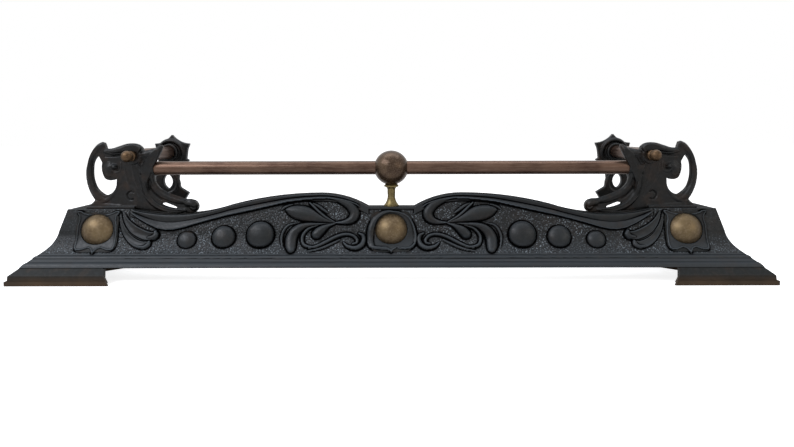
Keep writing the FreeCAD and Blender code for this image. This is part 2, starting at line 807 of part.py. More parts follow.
def right_finial():
    thread_bore = rod / 2 + thread
    radius = size("finial_diameter") / 2
    length = size("finial_length")
    dome_foot = length * 0.5
    steps = [
        (thread_bore, 0), (radius, 0), (radius, length * 0.25), (radius * 0.75, length * 0.33),
        (radius, dome_foot), (0, length, -level_arc(radius, length - dome_foot)),
        (0, length * 0.6 + thread),
        (thread_bore, length * 0.6 + thread),
    ]
    return turned("right_finial_nut", steps, (side_rail_x, hub_front, side_rail_z),
                  FACING_FRONT)


def rear_rod_fasteners():
    back = rear_y + bracket_thickness / 2
    ring = washer("right_rod_washer", size("washer_diameter"), rod_hole, washer_thick,
                  (side_rail_x, back, side_rail_z), ALONG_Y)
    nut = hex_nut("right_rod_nut", (side_rail_x, back + washer_thick, side_rail_z), ALONG_Y,
                  rod + thread * 2)
    washers = group("rear_rod_washers", [ring, mirrored("left_rod_washer", ring)])
    nuts = group("rear_rod_nuts", [nut, mirrored("left_rod_nut", nut)])
    return [washers, nuts]


def boss(name, x):
    """A brass dome shell with a tapped pillar inside, seated on its cartouche."""
    radius = size("boss_diameter") / 2
    rise = size("boss_rise")
    outer_curve = level_arc(radius, rise)
    inner_curve = outer_curve - size("boss_wall")
    below = outer_curve - rise
    pillar = size("boss_pillar") / 2
    bore = size("boss_stud") / 2 + thread
    thread_top = boss_thread_depth()
    inner_radius = root(inner_curve * inner_curve - below * below)
    pillar_top = root(inner_curve * inner_curve - pillar * pillar) - below
    steps = [
        (bore, 0), (pillar, 0), (pillar, pillar_top), (inner_radius, 0, inner_curve),
        (radius, 0), (0, rise, -outer_curve), (0, thread_top), (bore, thread_top),
    ]
    dome = turned(name, steps, (0, 0, 0))
    return on_panel(dome, x, size("boss_height"), size("boss_seat"))


def boss_thread_depth():
    return size("boss_rise") * 0.7


def boss_fasteners():
    """A stud, washer and square nut behind each boss."""
    studs = []
    washers = []
    nuts = []
    height = size("boss_height")
    stud = size("boss_stud")
    washer_low = -(panel_back() + size("boss_washer_thick"))
    nut_low = washer_low - size("boss_nut_thick")
    stud_top = size("boss_seat") + boss_thread_depth()
    for name, x in boss_places.items():
        pin_stud = cylinder(f"{name}_stud", stud, size("boss_stud_length"), (0, 0, 0))
        studs.append(on_panel(pin_stud, x, height, stud_top - size("boss_stud_length")))
        ring = washer(f"{name}_washer", size("boss_washer"), stud + clearance * 2,
                      size("boss_washer_thick"), (0, 0, 0), ALONG_Z)
        washers.append(on_panel(ring, x, height, washer_low))
        nut = cut(f"{name}_nut",
                  prism(f"{name}_nut_blank", 4, size("boss_nut_side"), size("boss_nut_thick"), (0, 0, 0)),
                  cylinder(f"{name}_nut_thread", stud + thread * 2, size("boss_nut_thick"), (0, 0, 0)))
        nuts.append(on_panel(nut, x, height, nut_low))
    return [group("boss_studs", studs), group("boss_washers", washers), group("boss_nuts", nuts)]


def mitre_fasteners():
    """Bolts through the two webs of each mitred corner, with their nuts on the front casting's side."""
    grip = web * 2 + nut_thick + thread * 20
    diameter = size("bolt_diameter")

    def shank(name, at, direction):
        return cylinder(name, diameter, grip, at, direction)

    def head(name, at, direction):
        return prism(name, 6, size("hex_nut"), size("bolt_head_thick"), at, direction)

    def nut(name, at, direction):
        return hex_nut(name, at, direction, diameter + thread * 2)

    shanks = mitre_place("mitre_shank", shank, web - grip)
    heads = mitre_place("mitre_head", head, web)
    nuts = mitre_place("mitre_nut", nut, -web - nut_thick)
    bolts = [joined(f"{level}_mitre_bolt", shanks[f"{level}_mitre_shank"], heads[f"{level}_mitre_head"])
             for level in ("low", "high")]
    both_bolts = bolts + [mirrored(f"left_{bolt.Name}", bolt) for bolt in bolts]
    both_nuts = list(nuts.values()) + [mirrored(f"left_{item.Name}", item) for item in nuts.values()]
    return [group("corner_joint_bolts", both_bolts), group("corner_joint_nuts", both_nuts)]


def bracket_screws(group_name, places, y):
    """Hex-head screws driven up through the deck into a bracket's foot."""
    head_thick = size("screw_head_thick")
    under = deck - deck_thickness
    screws = []
    for name, x in places.items():
        screw = joined(
            name, prism(f"{name}_head", 6, size("screw_head"), head_thick, (x, y, under - head_thick)),
            cylinder(f"{name}_shank", size("screw_diameter"), deck_thickness + size("screw_grip"),
                     (x, y, under)))
        screws += [screw, mirrored(f"left_{name}", screw)]
    return group(group_name, screws)


# ---- assembly ----

def pair(right):
    """The right-hand piece and its mirror image."""
    return [right, mirrored(right.Name.replace("right", "left", 1), right)]


def build_parts():
    parts = [front_kerb()]
    for make in (right_return, right_corner_bracket, right_rear_bracket, right_front_rail,
                 right_side_rail, right_side_rod, right_finial):
        parts += pair(make())
    parts += [rail_ball(), rail_post(), ball_stud(), post_stud(), rail_plugs(), grub_screws()]
    parts.append(washer("post_washer", size("washer_diameter"), rod_hole, washer_thick,
                        (0, rail_y, post_nut_z() + nut_thick), ALONG_Z))
    parts.append(hex_nut("post_nut", (0, rail_y, post_nut_z()), ALONG_Z, rod + thread * 2))
    parts += [boss(name, x) for name, x in boss_places.items()]
    parts += boss_fasteners()
    parts += rear_rod_fasteners()
    parts += mitre_fasteners()
    parts.append(bracket_screws("corner_bracket_screws", corner_screw_places(), rail_y))
    parts.append(bracket_screws("rear_bracket_screws", rear_screw_places(), rear_y))
    for part in parts:
        part.Label = part.Name
    return parts


def check(parts):
    """Stop if any object failed or any sub-part has no valid shape."""
    for item in doc.Objects:
        if "Invalid" in item.State or "Error" in item.State:
            raise RuntimeError(f"{item.Name} failed: {item.State}")
    for part in parts:
        if part.Shape.isNull() or not part.Shape.isValid() or not part.Shape.Solids:
            raise RuntimeError(f"{part.Label} has no valid solid")


sub_parts = build_parts()
doc.recompute()
check(sub_parts)
os.makedirs("parts", exist_ok=True)
for part in sub_parts:
    part.Shape.exportStep(f"parts/{part.Label}.step")
    box = part.Shape.BoundBox
    print(f"{part.Label}: {len(part.Shape.Solids)} solids, {part.Shape.Volume / 1000:.1f} cm3,",
          f"x {box.XMin:.1f}..{box.XMax:.1f} y {box.YMin:.1f}..{box.YMax:.1f}",
          f"z {box.ZMin:.1f}..{box.ZMax:.1f}")
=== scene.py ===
"""Looks for a cast-iron fireplace fender with a brass rail and brass bosses.

Sizes in the tables below are millimetres; meshes are built in metres in the frame of the CAD model.
"""

import math

import bmesh
import bpy
import numpy as np
from mathutils import Matrix, Vector


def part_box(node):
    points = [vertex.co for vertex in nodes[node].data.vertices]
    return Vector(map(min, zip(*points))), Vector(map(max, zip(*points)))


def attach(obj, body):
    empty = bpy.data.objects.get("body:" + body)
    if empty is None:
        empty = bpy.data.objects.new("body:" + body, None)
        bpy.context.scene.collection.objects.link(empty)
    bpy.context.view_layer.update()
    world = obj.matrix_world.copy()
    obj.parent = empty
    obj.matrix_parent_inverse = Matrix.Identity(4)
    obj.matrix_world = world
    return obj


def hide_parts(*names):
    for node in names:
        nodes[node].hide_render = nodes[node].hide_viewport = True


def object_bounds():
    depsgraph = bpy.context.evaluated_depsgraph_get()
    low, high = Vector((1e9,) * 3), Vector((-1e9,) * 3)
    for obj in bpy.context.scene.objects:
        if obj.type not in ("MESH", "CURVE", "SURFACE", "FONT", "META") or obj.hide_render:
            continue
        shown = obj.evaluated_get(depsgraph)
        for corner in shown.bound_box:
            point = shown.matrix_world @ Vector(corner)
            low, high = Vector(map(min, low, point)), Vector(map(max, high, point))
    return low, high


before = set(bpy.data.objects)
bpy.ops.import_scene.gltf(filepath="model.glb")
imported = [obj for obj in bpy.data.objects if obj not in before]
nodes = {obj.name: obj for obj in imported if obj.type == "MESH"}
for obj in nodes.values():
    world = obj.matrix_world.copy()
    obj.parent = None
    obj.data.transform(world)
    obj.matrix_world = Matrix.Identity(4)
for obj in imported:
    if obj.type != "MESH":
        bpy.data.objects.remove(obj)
cad_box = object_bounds()

MM = 0.001
REAR_BARS_BEHIND = 16  # middle of the rear brackets' bars, behind the brackets' front


def box_mm(node):
    """Lowest and highest corner of a CAD node, in millimetres."""
    low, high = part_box(node)
    return np.array(low) / MM, np.array(high) / MM


def middle(node):
    low, high = box_mm(node)
    return (low + high) / 2


front_y = cad_box[0].y / MM
half_width = cad_box[1].x / MM
deck = box_mm("right_return")[1][2]
boss_x = middle("right_boss")[0]
boss_z = middle("right_boss")[2]
bracket_y = middle("rail_ball")[1]
rear_y = box_mm("right_rear_bracket")[0][1] + REAR_BARS_BEHIND


# ---- mesh helpers ----

def make_piece(name, points, faces, smooth=True):
    """A mesh object from points in millimetres."""
    mesh = bpy.data.meshes.new(name)
    mesh.from_pydata((np.asarray(points, float) * MM).tolist(), [], faces)
    mesh.validate()
    mesh.update()
    if smooth:
        mesh.shade_smooth()
    else:
        mesh.shade_flat()
    piece = bpy.data.objects.new(name, mesh)
    bpy.context.scene.collection.objects.link(piece)
    return piece


def grid_faces(rows, columns, closed=False):
    """Quads of a grid of points stored row by row; closed joins the last column to the first."""
    index = np.arange(rows * columns).reshape(rows, columns)
    if closed:
        index = np.concatenate([index, index[:, :1]], axis=1)
    a, b = index[:-1, :-1], index[:-1, 1:]
    c, d = index[1:, 1:], index[1:, :-1]
    return np.stack([a, b, c, d], axis=-1).reshape(-1, 4).tolist()


def spline(points, count):
    """A smooth curve through the given rows; every column is carried along."""
    rows = np.asarray(points, float)
    padded = np.vstack([2 * rows[0] - rows[1], rows, 2 * rows[-1] - rows[-2]])
    place = np.linspace(0, len(rows) - 1.000001, count)
    start = place.astype(int)
    t = (place - start)[:, None]
    p0, p1, p2, p3 = (padded[start + k] for k in range(4))
    return 0.5 * (2 * p1 + (p2 - p0) * t + (2 * p0 - 5 * p1 + 4 * p2 - p3) * t ** 2
                  + (3 * p1 - 3 * p2 + p3 - p0) * t ** 3)


def smoothstep(low, high, value):
    t = np.clip((value - low) / (high - low), 0, 1)
    return t * t * (3 - 2 * t)


# ---- relief strokes ----

FAR = 1e9
STEPS_PER_ROW = 28
LEAST_HALF_WIDTH = 0.3
LEAF_MIDDLE = 0.62


def rounded(q):
    """A bead, round across: q is 0 on its middle line and 1 at its edge."""
    return np.sqrt(np.clip(1 - q * q, 0, 1))


def scooped(q):
    """A leaf with a hollow middle and a lip along both edges."""
    return (LEAF_MIDDLE + (1 - LEAF_MIDDLE) * q ** 2.2) * smoothstep(1.02, 0.72, q)


SHAPES = {"rounded": rounded, "scooped": scooped}


def stroke(height, across, up, points, rise, shape=rounded, taper=0.0):
    """Lay a swept stroke on a height map: rows of points are across, up and half width."""
    line = spline(points, STEPS_PER_ROW * len(points))
    widest = line[:, 2].max()
    reach = widest + 1
    near = ((across > line[:, 0].min() - reach) & (across < line[:, 0].max() + reach)
            & (up > line[:, 1].min() - reach) & (up < line[:, 1].max() + reach))
    if not near.any():
        return
    x, z = across[near], up[near]
    best = np.full(x.shape, FAR)
    level = np.zeros(x.shape)
    for line_x, line_z, wide in line:
        wide = max(wide, LEAST_HALF_WIDTH)
        distance = np.hypot(x - line_x, z - line_z) / wide
        level = np.where(distance < best, min(1.0, wide / widest) ** taper, level)
        best = np.minimum(best, distance)
    bump = np.where(best < 1, shape(np.clip(best, 0, 1)) * level * rise, 0)
    if rise < 0:
        height[near] += bump
    else:
        height[near] = np.maximum(height[near], bump)


def inside(across, up, outline):
    """Signed distance in millimetres to a closed outline, positive inside."""
    loop = np.asarray(outline, float)
    ahead = np.roll(loop, -1, axis=0)
    within = np.zeros(across.shape, bool)
    distance = np.full(across.shape, FAR)
    for (x0, z0), (x1, z1) in zip(loop, ahead):
        crosses = (z0 > up) != (z1 > up)
        if z0 != z1:
            within ^= crosses & (across < x0 + (up - z0) * (x1 - x0) / (z1 - z0))
        along = ((across - x0) * (x1 - x0) + (up - z0) * (z1 - z0)) / max(
            (x1 - x0) ** 2 + (z1 - z0) ** 2, 1e-9)
        along = np.clip(along, 0, 1)
        distance = np.minimum(distance, np.hypot(across - x0 - along * (x1 - x0),
                                                 up - z0 - along * (z1 - z0)))
    return np.where(within, distance, -distance)


# ---- the kerb's section ----

TOE = (4.5, 17.0)
COVE_FOOT = (45.0, 51.0)
COVE_TOP = (66.0, 86.0)
COVE_RADIUS = 60.0
PANEL_SLOPE = math.tan(math.radians(17))
STRIP_FOOT = 28.0


def cove_middle():
    (e0, z0), (e1, z1) = COVE_FOOT, COVE_TOP
    chord = math.hypot(e1 - e0, z1 - z0)
    lift = math.sqrt(COVE_RADIUS ** 2 - chord ** 2 / 4)
    return (e0 + e1) / 2 - (z1 - z0) / chord * lift, (z0 + z1) / 2 + (e1 - e0) / chord * lift


def kerb_set(z):
    """How far behind the foot's front edge the kerb's face is at a height."""
    z = np.asarray(z, float)
    e_mid, z_mid = cove_middle()
    low = TOE[0] + (z - TOE[1]) * (COVE_FOOT[0] - TOE[0]) / (COVE_FOOT[1] - TOE[1])
    cove = e_mid + np.sqrt(np.clip(COVE_RADIUS ** 2 - (z - z_mid) ** 2, 0, None))
    panel = COVE_TOP[0] + (z - COVE_TOP[1]) * PANEL_SLOPE
    return np.where(z < COVE_FOOT[1], low, np.where(z < COVE_TOP[1], cove, panel))


FACE_TOP = 175.0
FACE_STEP = 0.25
LEAN_REACH = 1.5
heights = np.arange(TOE[1], FACE_TOP, FACE_STEP)
face_steps = np.hypot(np.diff(heights), np.diff(kerb_set(heights)))
arc_length = np.concatenate([[0], np.cumsum(face_steps)])


def along_face(z):
    """Distance up the face from the toe to a height."""
    return np.interp(z, heights, arc_length)


def face_normal(z):
    """Forward and upward parts of the face's outward direction at a height."""
    lean = (kerb_set(z + LEAN_REACH) - kerb_set(z - LEAN_REACH)) / (2 * LEAN_REACH)
    size = np.hypot(1, lean)
    return 1 / size, lean / size


# the wave: distance from the middle, and height above the deck
PLATFORM = (43.0, 3.0)
CREST = (132.0, 27.6)
SHOULDER = (300.0, 6.0)
DIP = (398.0, -10.0)
BLOCK = (480.0, 0.0)


def wave_top(x):
    """Height of the front's top edge; each part is an arc, level at a crest or dip."""
    x = np.abs(np.asarray(x, float))

    def arc(level, other):
        across, rise = other[0] - level[0], other[1] - level[1]
        radius = (across ** 2 + rise ** 2) / (2 * abs(rise))
        inner = np.sqrt(np.clip(radius ** 2 - (x - level[0]) ** 2, 0, None))
        return level[1] + math.copysign(1, rise) * (radius - inner)

    top = np.full(x.shape, PLATFORM[1])
    top = np.where(x > PLATFORM[0], arc(CREST, PLATFORM), top)
    top = np.where(x > CREST[0], arc(CREST, SHOULDER), top)
    top = np.where(x > SHOULDER[0], arc(DIP, SHOULDER), top)
    top = np.where(x > DIP[0], arc(DIP, BLOCK), top)
    return deck + np.where(x > BLOCK[0], 0, top)


# ---- the front's ornament: rows are distance from the middle, height and half width ----

RIM_LOWER = [(40, 124), (52, 124), (58, 127), (64, 131), (74, 135.5), (90, 139.5), (113, 142.5),
             (132, 142.6), (160, 140.5), (190, 136.8), (225, 128.8), (260, 121), (300, 113),
             (330, 105.5), (357, 98.0), (380, 91), (398, 87.2), (412, 86.6), (428, 89.5),
             (446, 97.5), (462, 106.5), (476, 115.5), (488, 124)]

STROKES = [
    # the rim's inner end, a fat roll that curls down and back under the crest
    ("rounded", 8.4, [(122, 145.5, 1.5), (104, 142.5, 3.6), (88, 137, 6.4), (75, 129.5, 8.6),
                      (67.5, 118.5, 9.4), (69.5, 109, 8.6), (78, 103, 6.2), (89, 100.6, 3.8),
                      (103, 100.2, 1.4)]),
    # two long leaves that spring from beside the corner plate, each ending in a bulb
    ("scooped", 7.4, [(493, 119, 1.8), (486, 105, 5.0), (474, 91.5, 8.4), (460, 82.5, 10.0),
                      (446, 77.2, 10.2), (434, 76.5, 9.0)]),
    ("rounded", 8.4, [(442, 73.5, 4.2), (434, 74.5, 6.2), (430, 79, 6.0), (431, 84, 4.0)]),
    ("scooped", 6.0, [(499, 118, 1.4), (494.5, 101, 3.6), (488, 86, 5.4), (478, 73.5, 7.2),
                      (465, 64.5, 8.4), (453, 61, 8.4), (445, 62, 7.0)]),
    ("rounded", 6.6, [(457, 57.5, 3.2), (448, 57.5, 4.6), (442, 61.5, 4.8), (441, 66.5, 3.2)]),
    ("rounded", 3.4, [(497, 112, 1.2), (489, 95, 1.6), (476, 81.5, 1.8), (462, 72.5, 1.7),
                      (447, 68, 1.2)]),
    # pod, the rib behind it and a small leaf
    ("rounded", 9.0, [(193, 123, 2.0), (189, 122.8, 5.0), (182, 121, 9.6), (172, 118.8, 13.2),
                      (160, 116.5, 14.2), (148, 113, 12.4), (135, 108.6, 8.8), (121, 104.4, 4.8),
                      (101, 100, 1.0)]),
    ("rounded", 4.0, [(202, 123.5, 1.4), (197, 127.5, 2.6), (190, 130.5, 2.4), (182, 133, 1.4)]),
    ("rounded", 6.4, [(150, 135.5, 1.8), (141, 127.5, 3.0), (133, 119.8, 3.2), (120, 109.8, 2.8),
                      (104, 101.6, 1.4)]),
    ("rounded", 4.6, [(144, 134.5, 1.8), (135, 130, 3.2), (126, 124, 3.2), (117, 118, 1.6)]),
    # bold lobe sweeping down to the foot of the panel, with a ridge on each side
    ("rounded", 8.8, [(112, 99.2, 1.4), (134, 98, 2.8), (152, 96.4, 4.6), (167, 91.4, 7.4),
                      (177.5, 82.5, 9.6), (182.5, 71.5, 10.8), (182.5, 60, 10.2), (181, 53.5, 7.6)]),
    ("rounded", 4.2, [(172, 100.5, 1.0), (189, 95.5, 2.2), (198, 84, 2.8), (200.5, 71, 2.6),
                      (197.5, 57, 1.4)]),
    ("rounded", 5.6, [(134, 95.4, 1.6), (150, 90.4, 2.8), (160, 80.5, 3.4), (162.5, 70.5, 3.4),
                      (159, 61.8, 3.4), (149, 57.8, 3.2), (135, 57.4, 2.4)]),
    # teardrop inside the cup
    ("rounded", 9.2, [(102, 99, 1.0), (113, 95.8, 3.4), (123, 90.6, 6.4), (131, 84.6, 9.0),
                      (136.5, 79.4, 9.4)]),
    # stem and spiral beside the middle plate
    ("rounded", 6.0, [(149, 55.4, 1.8), (132, 60, 3.4), (118, 66.4, 3.8), (104.5, 73.4, 3.8),
                      (91, 78.4, 3.6), (79, 79.6, 3.4), (69, 76.6, 3.4), (62.6, 70, 3.4),
                      (63.4, 64.2, 3.0), (70, 63, 2.0)]),
    ("rounded", 4.2, [(152, 51.4, 1.2), (137, 53.2, 2.4), (122, 57.4, 2.8), (108, 63.4, 2.6),
                      (94, 70, 1.6)]),
    ("rounded", 7.0, [(87, 65, 1.6), (79, 58.4, 3.6), (65.5, 55.6, 4.8), (54.6, 60.2, 5.2),
                      (50, 69.2, 4.8), (52, 77, 4.0), (58.5, 81.4, 2.2)]),
]

# half outlines of the plates behind the bosses: distance from the plate's middle, and height
CORNER_PLATE = [(0, 115.5), (15, 115.8), (25, 118.2), (31, 121.6), (37, 122.4), (39.8, 120.2), (38.2, 116.2),
                (34.6, 111.5), (34.2, 105), (36.4, 96), (37, 84), (36.8, 70), (37.2, 60), (36.2, 54.6),
                (32, 51.6), (25, 51.4), (18, 53.4), (11.5, 55.4), (6.5, 53.6), (2.6, 49.4), (0, 46.8)]
MIDDLE_PLATE = [(0, 121.5), (14, 120.4), (26, 115.5), (34, 109.6), (38.5, 103), (41.5, 94), (43.5, 84),
                (44.5, 74), (44, 64), (41, 57.2), (35, 53.6), (27, 53.2), (18, 55), (10.5, 55.4),
                (5, 52.6), (0, 48.4)]
# crescent that wraps the middle boss on one side, the roll along its foot and a thin lip opposite
MIDDLE_STROKES = [
    (8.2, [(10, 118.5, 1.6), (-4, 119.5, 3.4), (-17, 115, 5.4), (-28, 105.5, 6.8), (-35, 93, 7.4),
           (-37.5, 79, 7.4), (-37, 66, 6.2), (-33, 57.5, 4.4)]),
    (7.4, [(-40, 61, 2.5), (-31, 56, 4.4), (-18, 54.8, 4.4), (-7, 53.6, 3.4), (1, 50.4, 1.6)]),
    (6.8, [(12, 55, 1.4), (26, 54.4, 2.2), (37, 57.4, 2.6), (44, 66.5, 2.8), (43.8, 80, 2.8),
           (39.5, 96, 2.6), (32, 109, 2.2), (22, 116.5, 1.4)]),
]
# iron domes: distance from the middle and diameter
DOMES = [(373.0, 34.0), (306.0, 43.0), (239.0, 51.0)]
DOME_FOOT = 53.0
DOME_SQUASH = 0.57


def whole_plate(half, x):
    right = [(x + dx, z) for dx, z in half]
    left = [(x - dx, z) for dx, z in half[-2:0:-1]]
    return right + left


def on_face(rows):
    """The same rows with each height turned into a distance up the face."""
    return [(x, float(along_face(z)), *rest) for x, z, *rest in rows]


RIM_START, RIM_FULL = 50, 64
RIM_WANES, RIM_END = 470, 488
RIM_FILLET = 5.6
RIM_SCOOP, RIM_LIP = 2.0, 5.2
BAND_RISE, EDGE_RISE = 3.1, 2.6
EDGE_BEYOND = 14
PLATE_RISE, PLATE_LIP = 4.6, 5.7
LIP_MIDDLE = 2.0
DOME_LIFT = 0.5
SEAT_RADIUS = 30.5
SEAT_RISE = 2.6
FIELD_RISE = 1.3
STRIP_TOP = 48.5
# height of the middle, half height and rise of the two beads on the strip
FAT_BEAD = (32.5, 3.6, 2.6)
THIN_BEAD = (43.2, 2.0, 1.5)


def rim_relief(out, top, z):
    """The rim: a round upper fillet, then a scoop that faces up to a sharp lower lip."""
    lower = np.interp(out, [p[0] for p in RIM_LOWER], [p[1] for p in RIM_LOWER])
    t = (top - z) / np.maximum(top - lower, 1)
    fillet = RIM_FILLET * rounded(np.clip((t - 0.16) / 0.36, -1, 1))
    scoop = RIM_SCOOP + RIM_LIP * smoothstep(0.30, 0.93, t)
    rim = np.maximum(fillet, scoop) * smoothstep(1.0, 0.95, t) * smoothstep(-0.2, 1.6, top - z)
    rim = np.where((out < RIM_END) & (out > RIM_START), rim, 0)
    return rim * (smoothstep(RIM_START, RIM_FULL, out) * smoothstep(RIM_END, RIM_WANES, out))


def edge_relief(out, top, z):
    """Cover for the casting's raised band, and a narrow edge along the platform in the middle."""
    band = BAND_RISE * smoothstep(13.2, 12.4, top - z)
    band = np.where((out > PLATFORM[0] - 0.6) & (out < BLOCK[0] + 0.6), band, 0)
    edge = EDGE_RISE * smoothstep(4.6, 3.8, top - z) * (out <= PLATFORM[0] + EDGE_BEYOND)
    return np.maximum(band, edge)


def plate_relief(out, s, half_outline, centre):
    """A shaped plate with a round lip just inside its outline."""
    depth = inside(out, s, on_face(whole_plate(half_outline, centre)))
    lip = np.where(depth > 0, PLATE_LIP * rounded((depth - LIP_MIDDLE) / LIP_MIDDLE), 0)
    return np.maximum(PLATE_RISE * smoothstep(-0.6, 0.9, depth), lip)


def ornament(x, z):
    """Height of the front's relief above its face, and how much is bare hammered ground."""
    out = np.abs(x)
    s = along_face(z)
    top = wave_top(x)
    relief = np.maximum(rim_relief(out, top, z), edge_relief(out, top, z))
    for shape, rise, rows in STROKES:
        stroke(relief, out, s, on_face(rows), rise, SHAPES[shape], 0.35)
    for half_outline, centre in ((CORNER_PLATE, boss_x), (MIDDLE_PLATE, 0.0)):
        relief = np.maximum(relief, plate_relief(out, s, half_outline, centre))
    for dome_x, size in DOMES:
        radius = size / 2
        far = np.hypot(out - dome_x, s - along_face(DOME_FOOT + radius)) / radius
        relief = np.maximum(relief, DOME_LIFT + DOME_SQUASH * radius * rounded(far))
    for rise, rows in MIDDLE_STROKES:
        stroke(relief, x, s, on_face(rows), rise, rounded, 0.4)

    # round seats for the bosses
    for centre in (0.0, boss_x):
        far = np.hypot(out - centre, s - along_face(boss_z))
        seat = SEAT_RISE + 4 * smoothstep(SEAT_RADIUS - 0.9, SEAT_RADIUS, far)
        relief = np.where(far < SEAT_RADIUS, np.minimum(relief, seat), relief)

    # the field, and the moulded strip along its foot
    base = np.full(x.shape, FIELD_RISE)
    for (bead_z, half_height, rise), under in ((FAT_BEAD, 0.0), (THIN_BEAD, FIELD_RISE)):
        base = np.maximum(base, under + rise * rounded((z - bead_z) / half_height))
    bare = smoothstep(1.4, 0.6, np.maximum(relief, np.where(z < STRIP_TOP, 3, 0)))
    # the field beside and above the corner plates is nearly plain
    bare *= 1 - 0.85 * smoothstep(boss_x - 8, boss_x + 36, out) * smoothstep(64, 80, z)
    return np.maximum(base, relief), bare


def blurred(height, cells):
    """The height map averaged over a square of cells each way."""
    for axis in (0, 1):
        padded = np.concatenate([np.repeat(height.take([0], axis), cells + 1, axis), height,
                                 np.repeat(height.take([-1], axis), cells, axis)], axis)
        total = np.cumsum(padded, axis)
        size = height.shape[axis]
        width = 2 * cells + 1
        height = (total.take(range(width, width + size), axis) - total.take(range(size), axis)) / width
    return height


def write_layer(piece, name, values):
    layer = piece.data.attributes.new(name, "FLOAT", "POINT")
    layer.data.foreach_set("value", values.reshape(-1).astype(np.float32))


STRAIGHT = 560.0
SKIN_PITCH = 1.15
EVEN_COLUMNS = np.arange(0, STRAIGHT, SKIN_PITCH)
FLARED_COLUMNS = np.linspace(0, 1, 58)
SKIN_ROWS = np.concatenate([np.linspace(0, 0.2, 30)[:-1], np.linspace(0.2, 1, 96)])
SKIN_FOOT_RISE = 0.1
SKIN_ABOVE_TOP = 0.45
CORNER_FIELD_DARKENING = 0.24


def kerb_skin(name, side):
    """Sculpted face of one half of the front kerb, foot strip to just over its top edge.

    Columns are even along the straight part and spread out with the flare towards the end.
    """
    count = len(EVEN_COLUMNS) + len(FLARED_COLUMNS)
    x = np.zeros((len(SKIN_ROWS), count))
    z = np.zeros_like(x)
    for k, row in enumerate(SKIN_ROWS):
        end = half_width - kerb_set(STRIP_FOOT + (deck - STRIP_FOOT) * row)
        x[k] = np.concatenate([EVEN_COLUMNS, STRAIGHT + (end - STRAIGHT) * FLARED_COLUMNS])
        z[k] = STRIP_FOOT + (wave_top(x[k]) - STRIP_FOOT) * row
    height, bare = ornament(x * side, z)
    height[0] = SKIN_FOOT_RISE
    out, up = face_normal(z)
    y = front_y + kerb_set(z) - height * out
    z_out = z + height * up

    # three rows roll the skin over the casting's top edge and tuck it in
    top = wave_top(x[-1])
    top_y = front_y + kerb_set(top)
    above = top + SKIN_ABOVE_TOP
    roll = [(x[-1], y[-1] + 0.6, np.maximum(z_out[-1], above)),
            (x[-1], top_y + 4.0, above),
            (x[-1], top_y + 5.0, top - 0.3)]
    rolled = np.stack([np.stack(row, axis=-1) for row in roll])
    points = np.concatenate([np.stack([x, y, z_out], axis=-1), rolled])
    points[..., 0] *= side
    faces = grid_faces(len(points), count)
    if side < 0:
        faces = [face[::-1] for face in faces]
    piece = make_piece(name, points.reshape(-1, 3), faces)

    # painted shade: how far each point sits below its surroundings, at two sizes; the material paints these
    # recesses near black
    sunk = np.maximum(blurred(height, 2) - height, 0) + 0.3 * np.maximum(blurred(height, 5) - height, 0)
    # the field round the corner plates is made darker, through the same layer as the painted shade
    sunk += CORNER_FIELD_DARKENING * smoothstep(boss_x - 50, boss_x + 20, x) * smoothstep(52, 70, z)
    beyond = np.zeros((len(rolled), count))
    # layers for the material: bare ground, how far each point sits below its surroundings (for painted
    # shade) and how far it stands above them (for a painted highlight)
    for layer, values in (("bare", bare), ("hollow", sunk), ("painted_highlight_rise", height - blurred(height, 3))):
        write_layer(piece, layer, np.concatenate([values, beyond]))
    return piece


skins = [kerb_skin("kerb_relief_left", -1), kerb_skin("kerb_relief_right", 1)]


# ---- bracket castings: sizes in millimetres ----

BAR_STEPS = 8
BAR_SIDES = 18
BAR_END_SIZE = 0.25
BAR_END_REACH = 0.6
VOXEL = 1.15
WELD = 0.01
SOFTENING_ROUNDS = 4
CARVED_TAPER = 0.3
FACING_RANGE = (0.15, 0.75)
FLAT_RANGE = (3.5, 0.8)
RAISED_SHARE = 0.5  # the bars already stand on the plate, so strokes on it are raised by half


def apply_modifiers(piece):
    graph = bpy.context.evaluated_depsgraph_get()
    mesh = bpy.data.meshes.new_from_object(piece.evaluated_get(graph))
    piece.modifiers.clear()
    piece.data = mesh


def swept(rows, side):
    """Points and faces of a tapering oval bar.

    Rows are distance out, height, Y, half width and half depth. Each end closes with a smaller ring.
    """
    line = spline(rows, BAR_STEPS * len(rows))
    line = np.vstack([line[:1], line, line[-1:]])
    line[0, 3:] *= BAR_END_SIZE
    line[-1, 3:] *= BAR_END_SIZE
    line[0, :3] -= (line[2, :3] - line[1, :3]) * BAR_END_REACH
    line[-1, :3] += (line[-2, :3] - line[-3, :3]) * BAR_END_REACH
    travel = np.gradient(line[:, :2], axis=0)
    travel /= np.maximum(np.linalg.norm(travel, axis=1), 1e-6)[:, None]
    turn = np.linspace(0, 2 * math.pi, BAR_SIDES, endpoint=False)
    wide, deep = np.cos(turn)[None], np.sin(turn)[None]
    x = line[:, :1] + travel[:, 1:2] * line[:, 3:4] * wide
    z = line[:, 1:2] - travel[:, :1] * line[:, 3:4] * wide
    y = line[:, 2:3] + line[:, 4:5] * deep
    points = np.stack([x * side, y, z], axis=-1).reshape(-1, 3)
    faces = grid_faces(len(line), BAR_SIDES, closed=True)
    last = (len(line) - 1) * BAR_SIDES
    faces += [list(range(BAR_SIDES))[::-1], list(range(last, last + BAR_SIDES))]
    if side < 0:
        faces = [list(face)[::-1] for face in faces]
    return points, faces


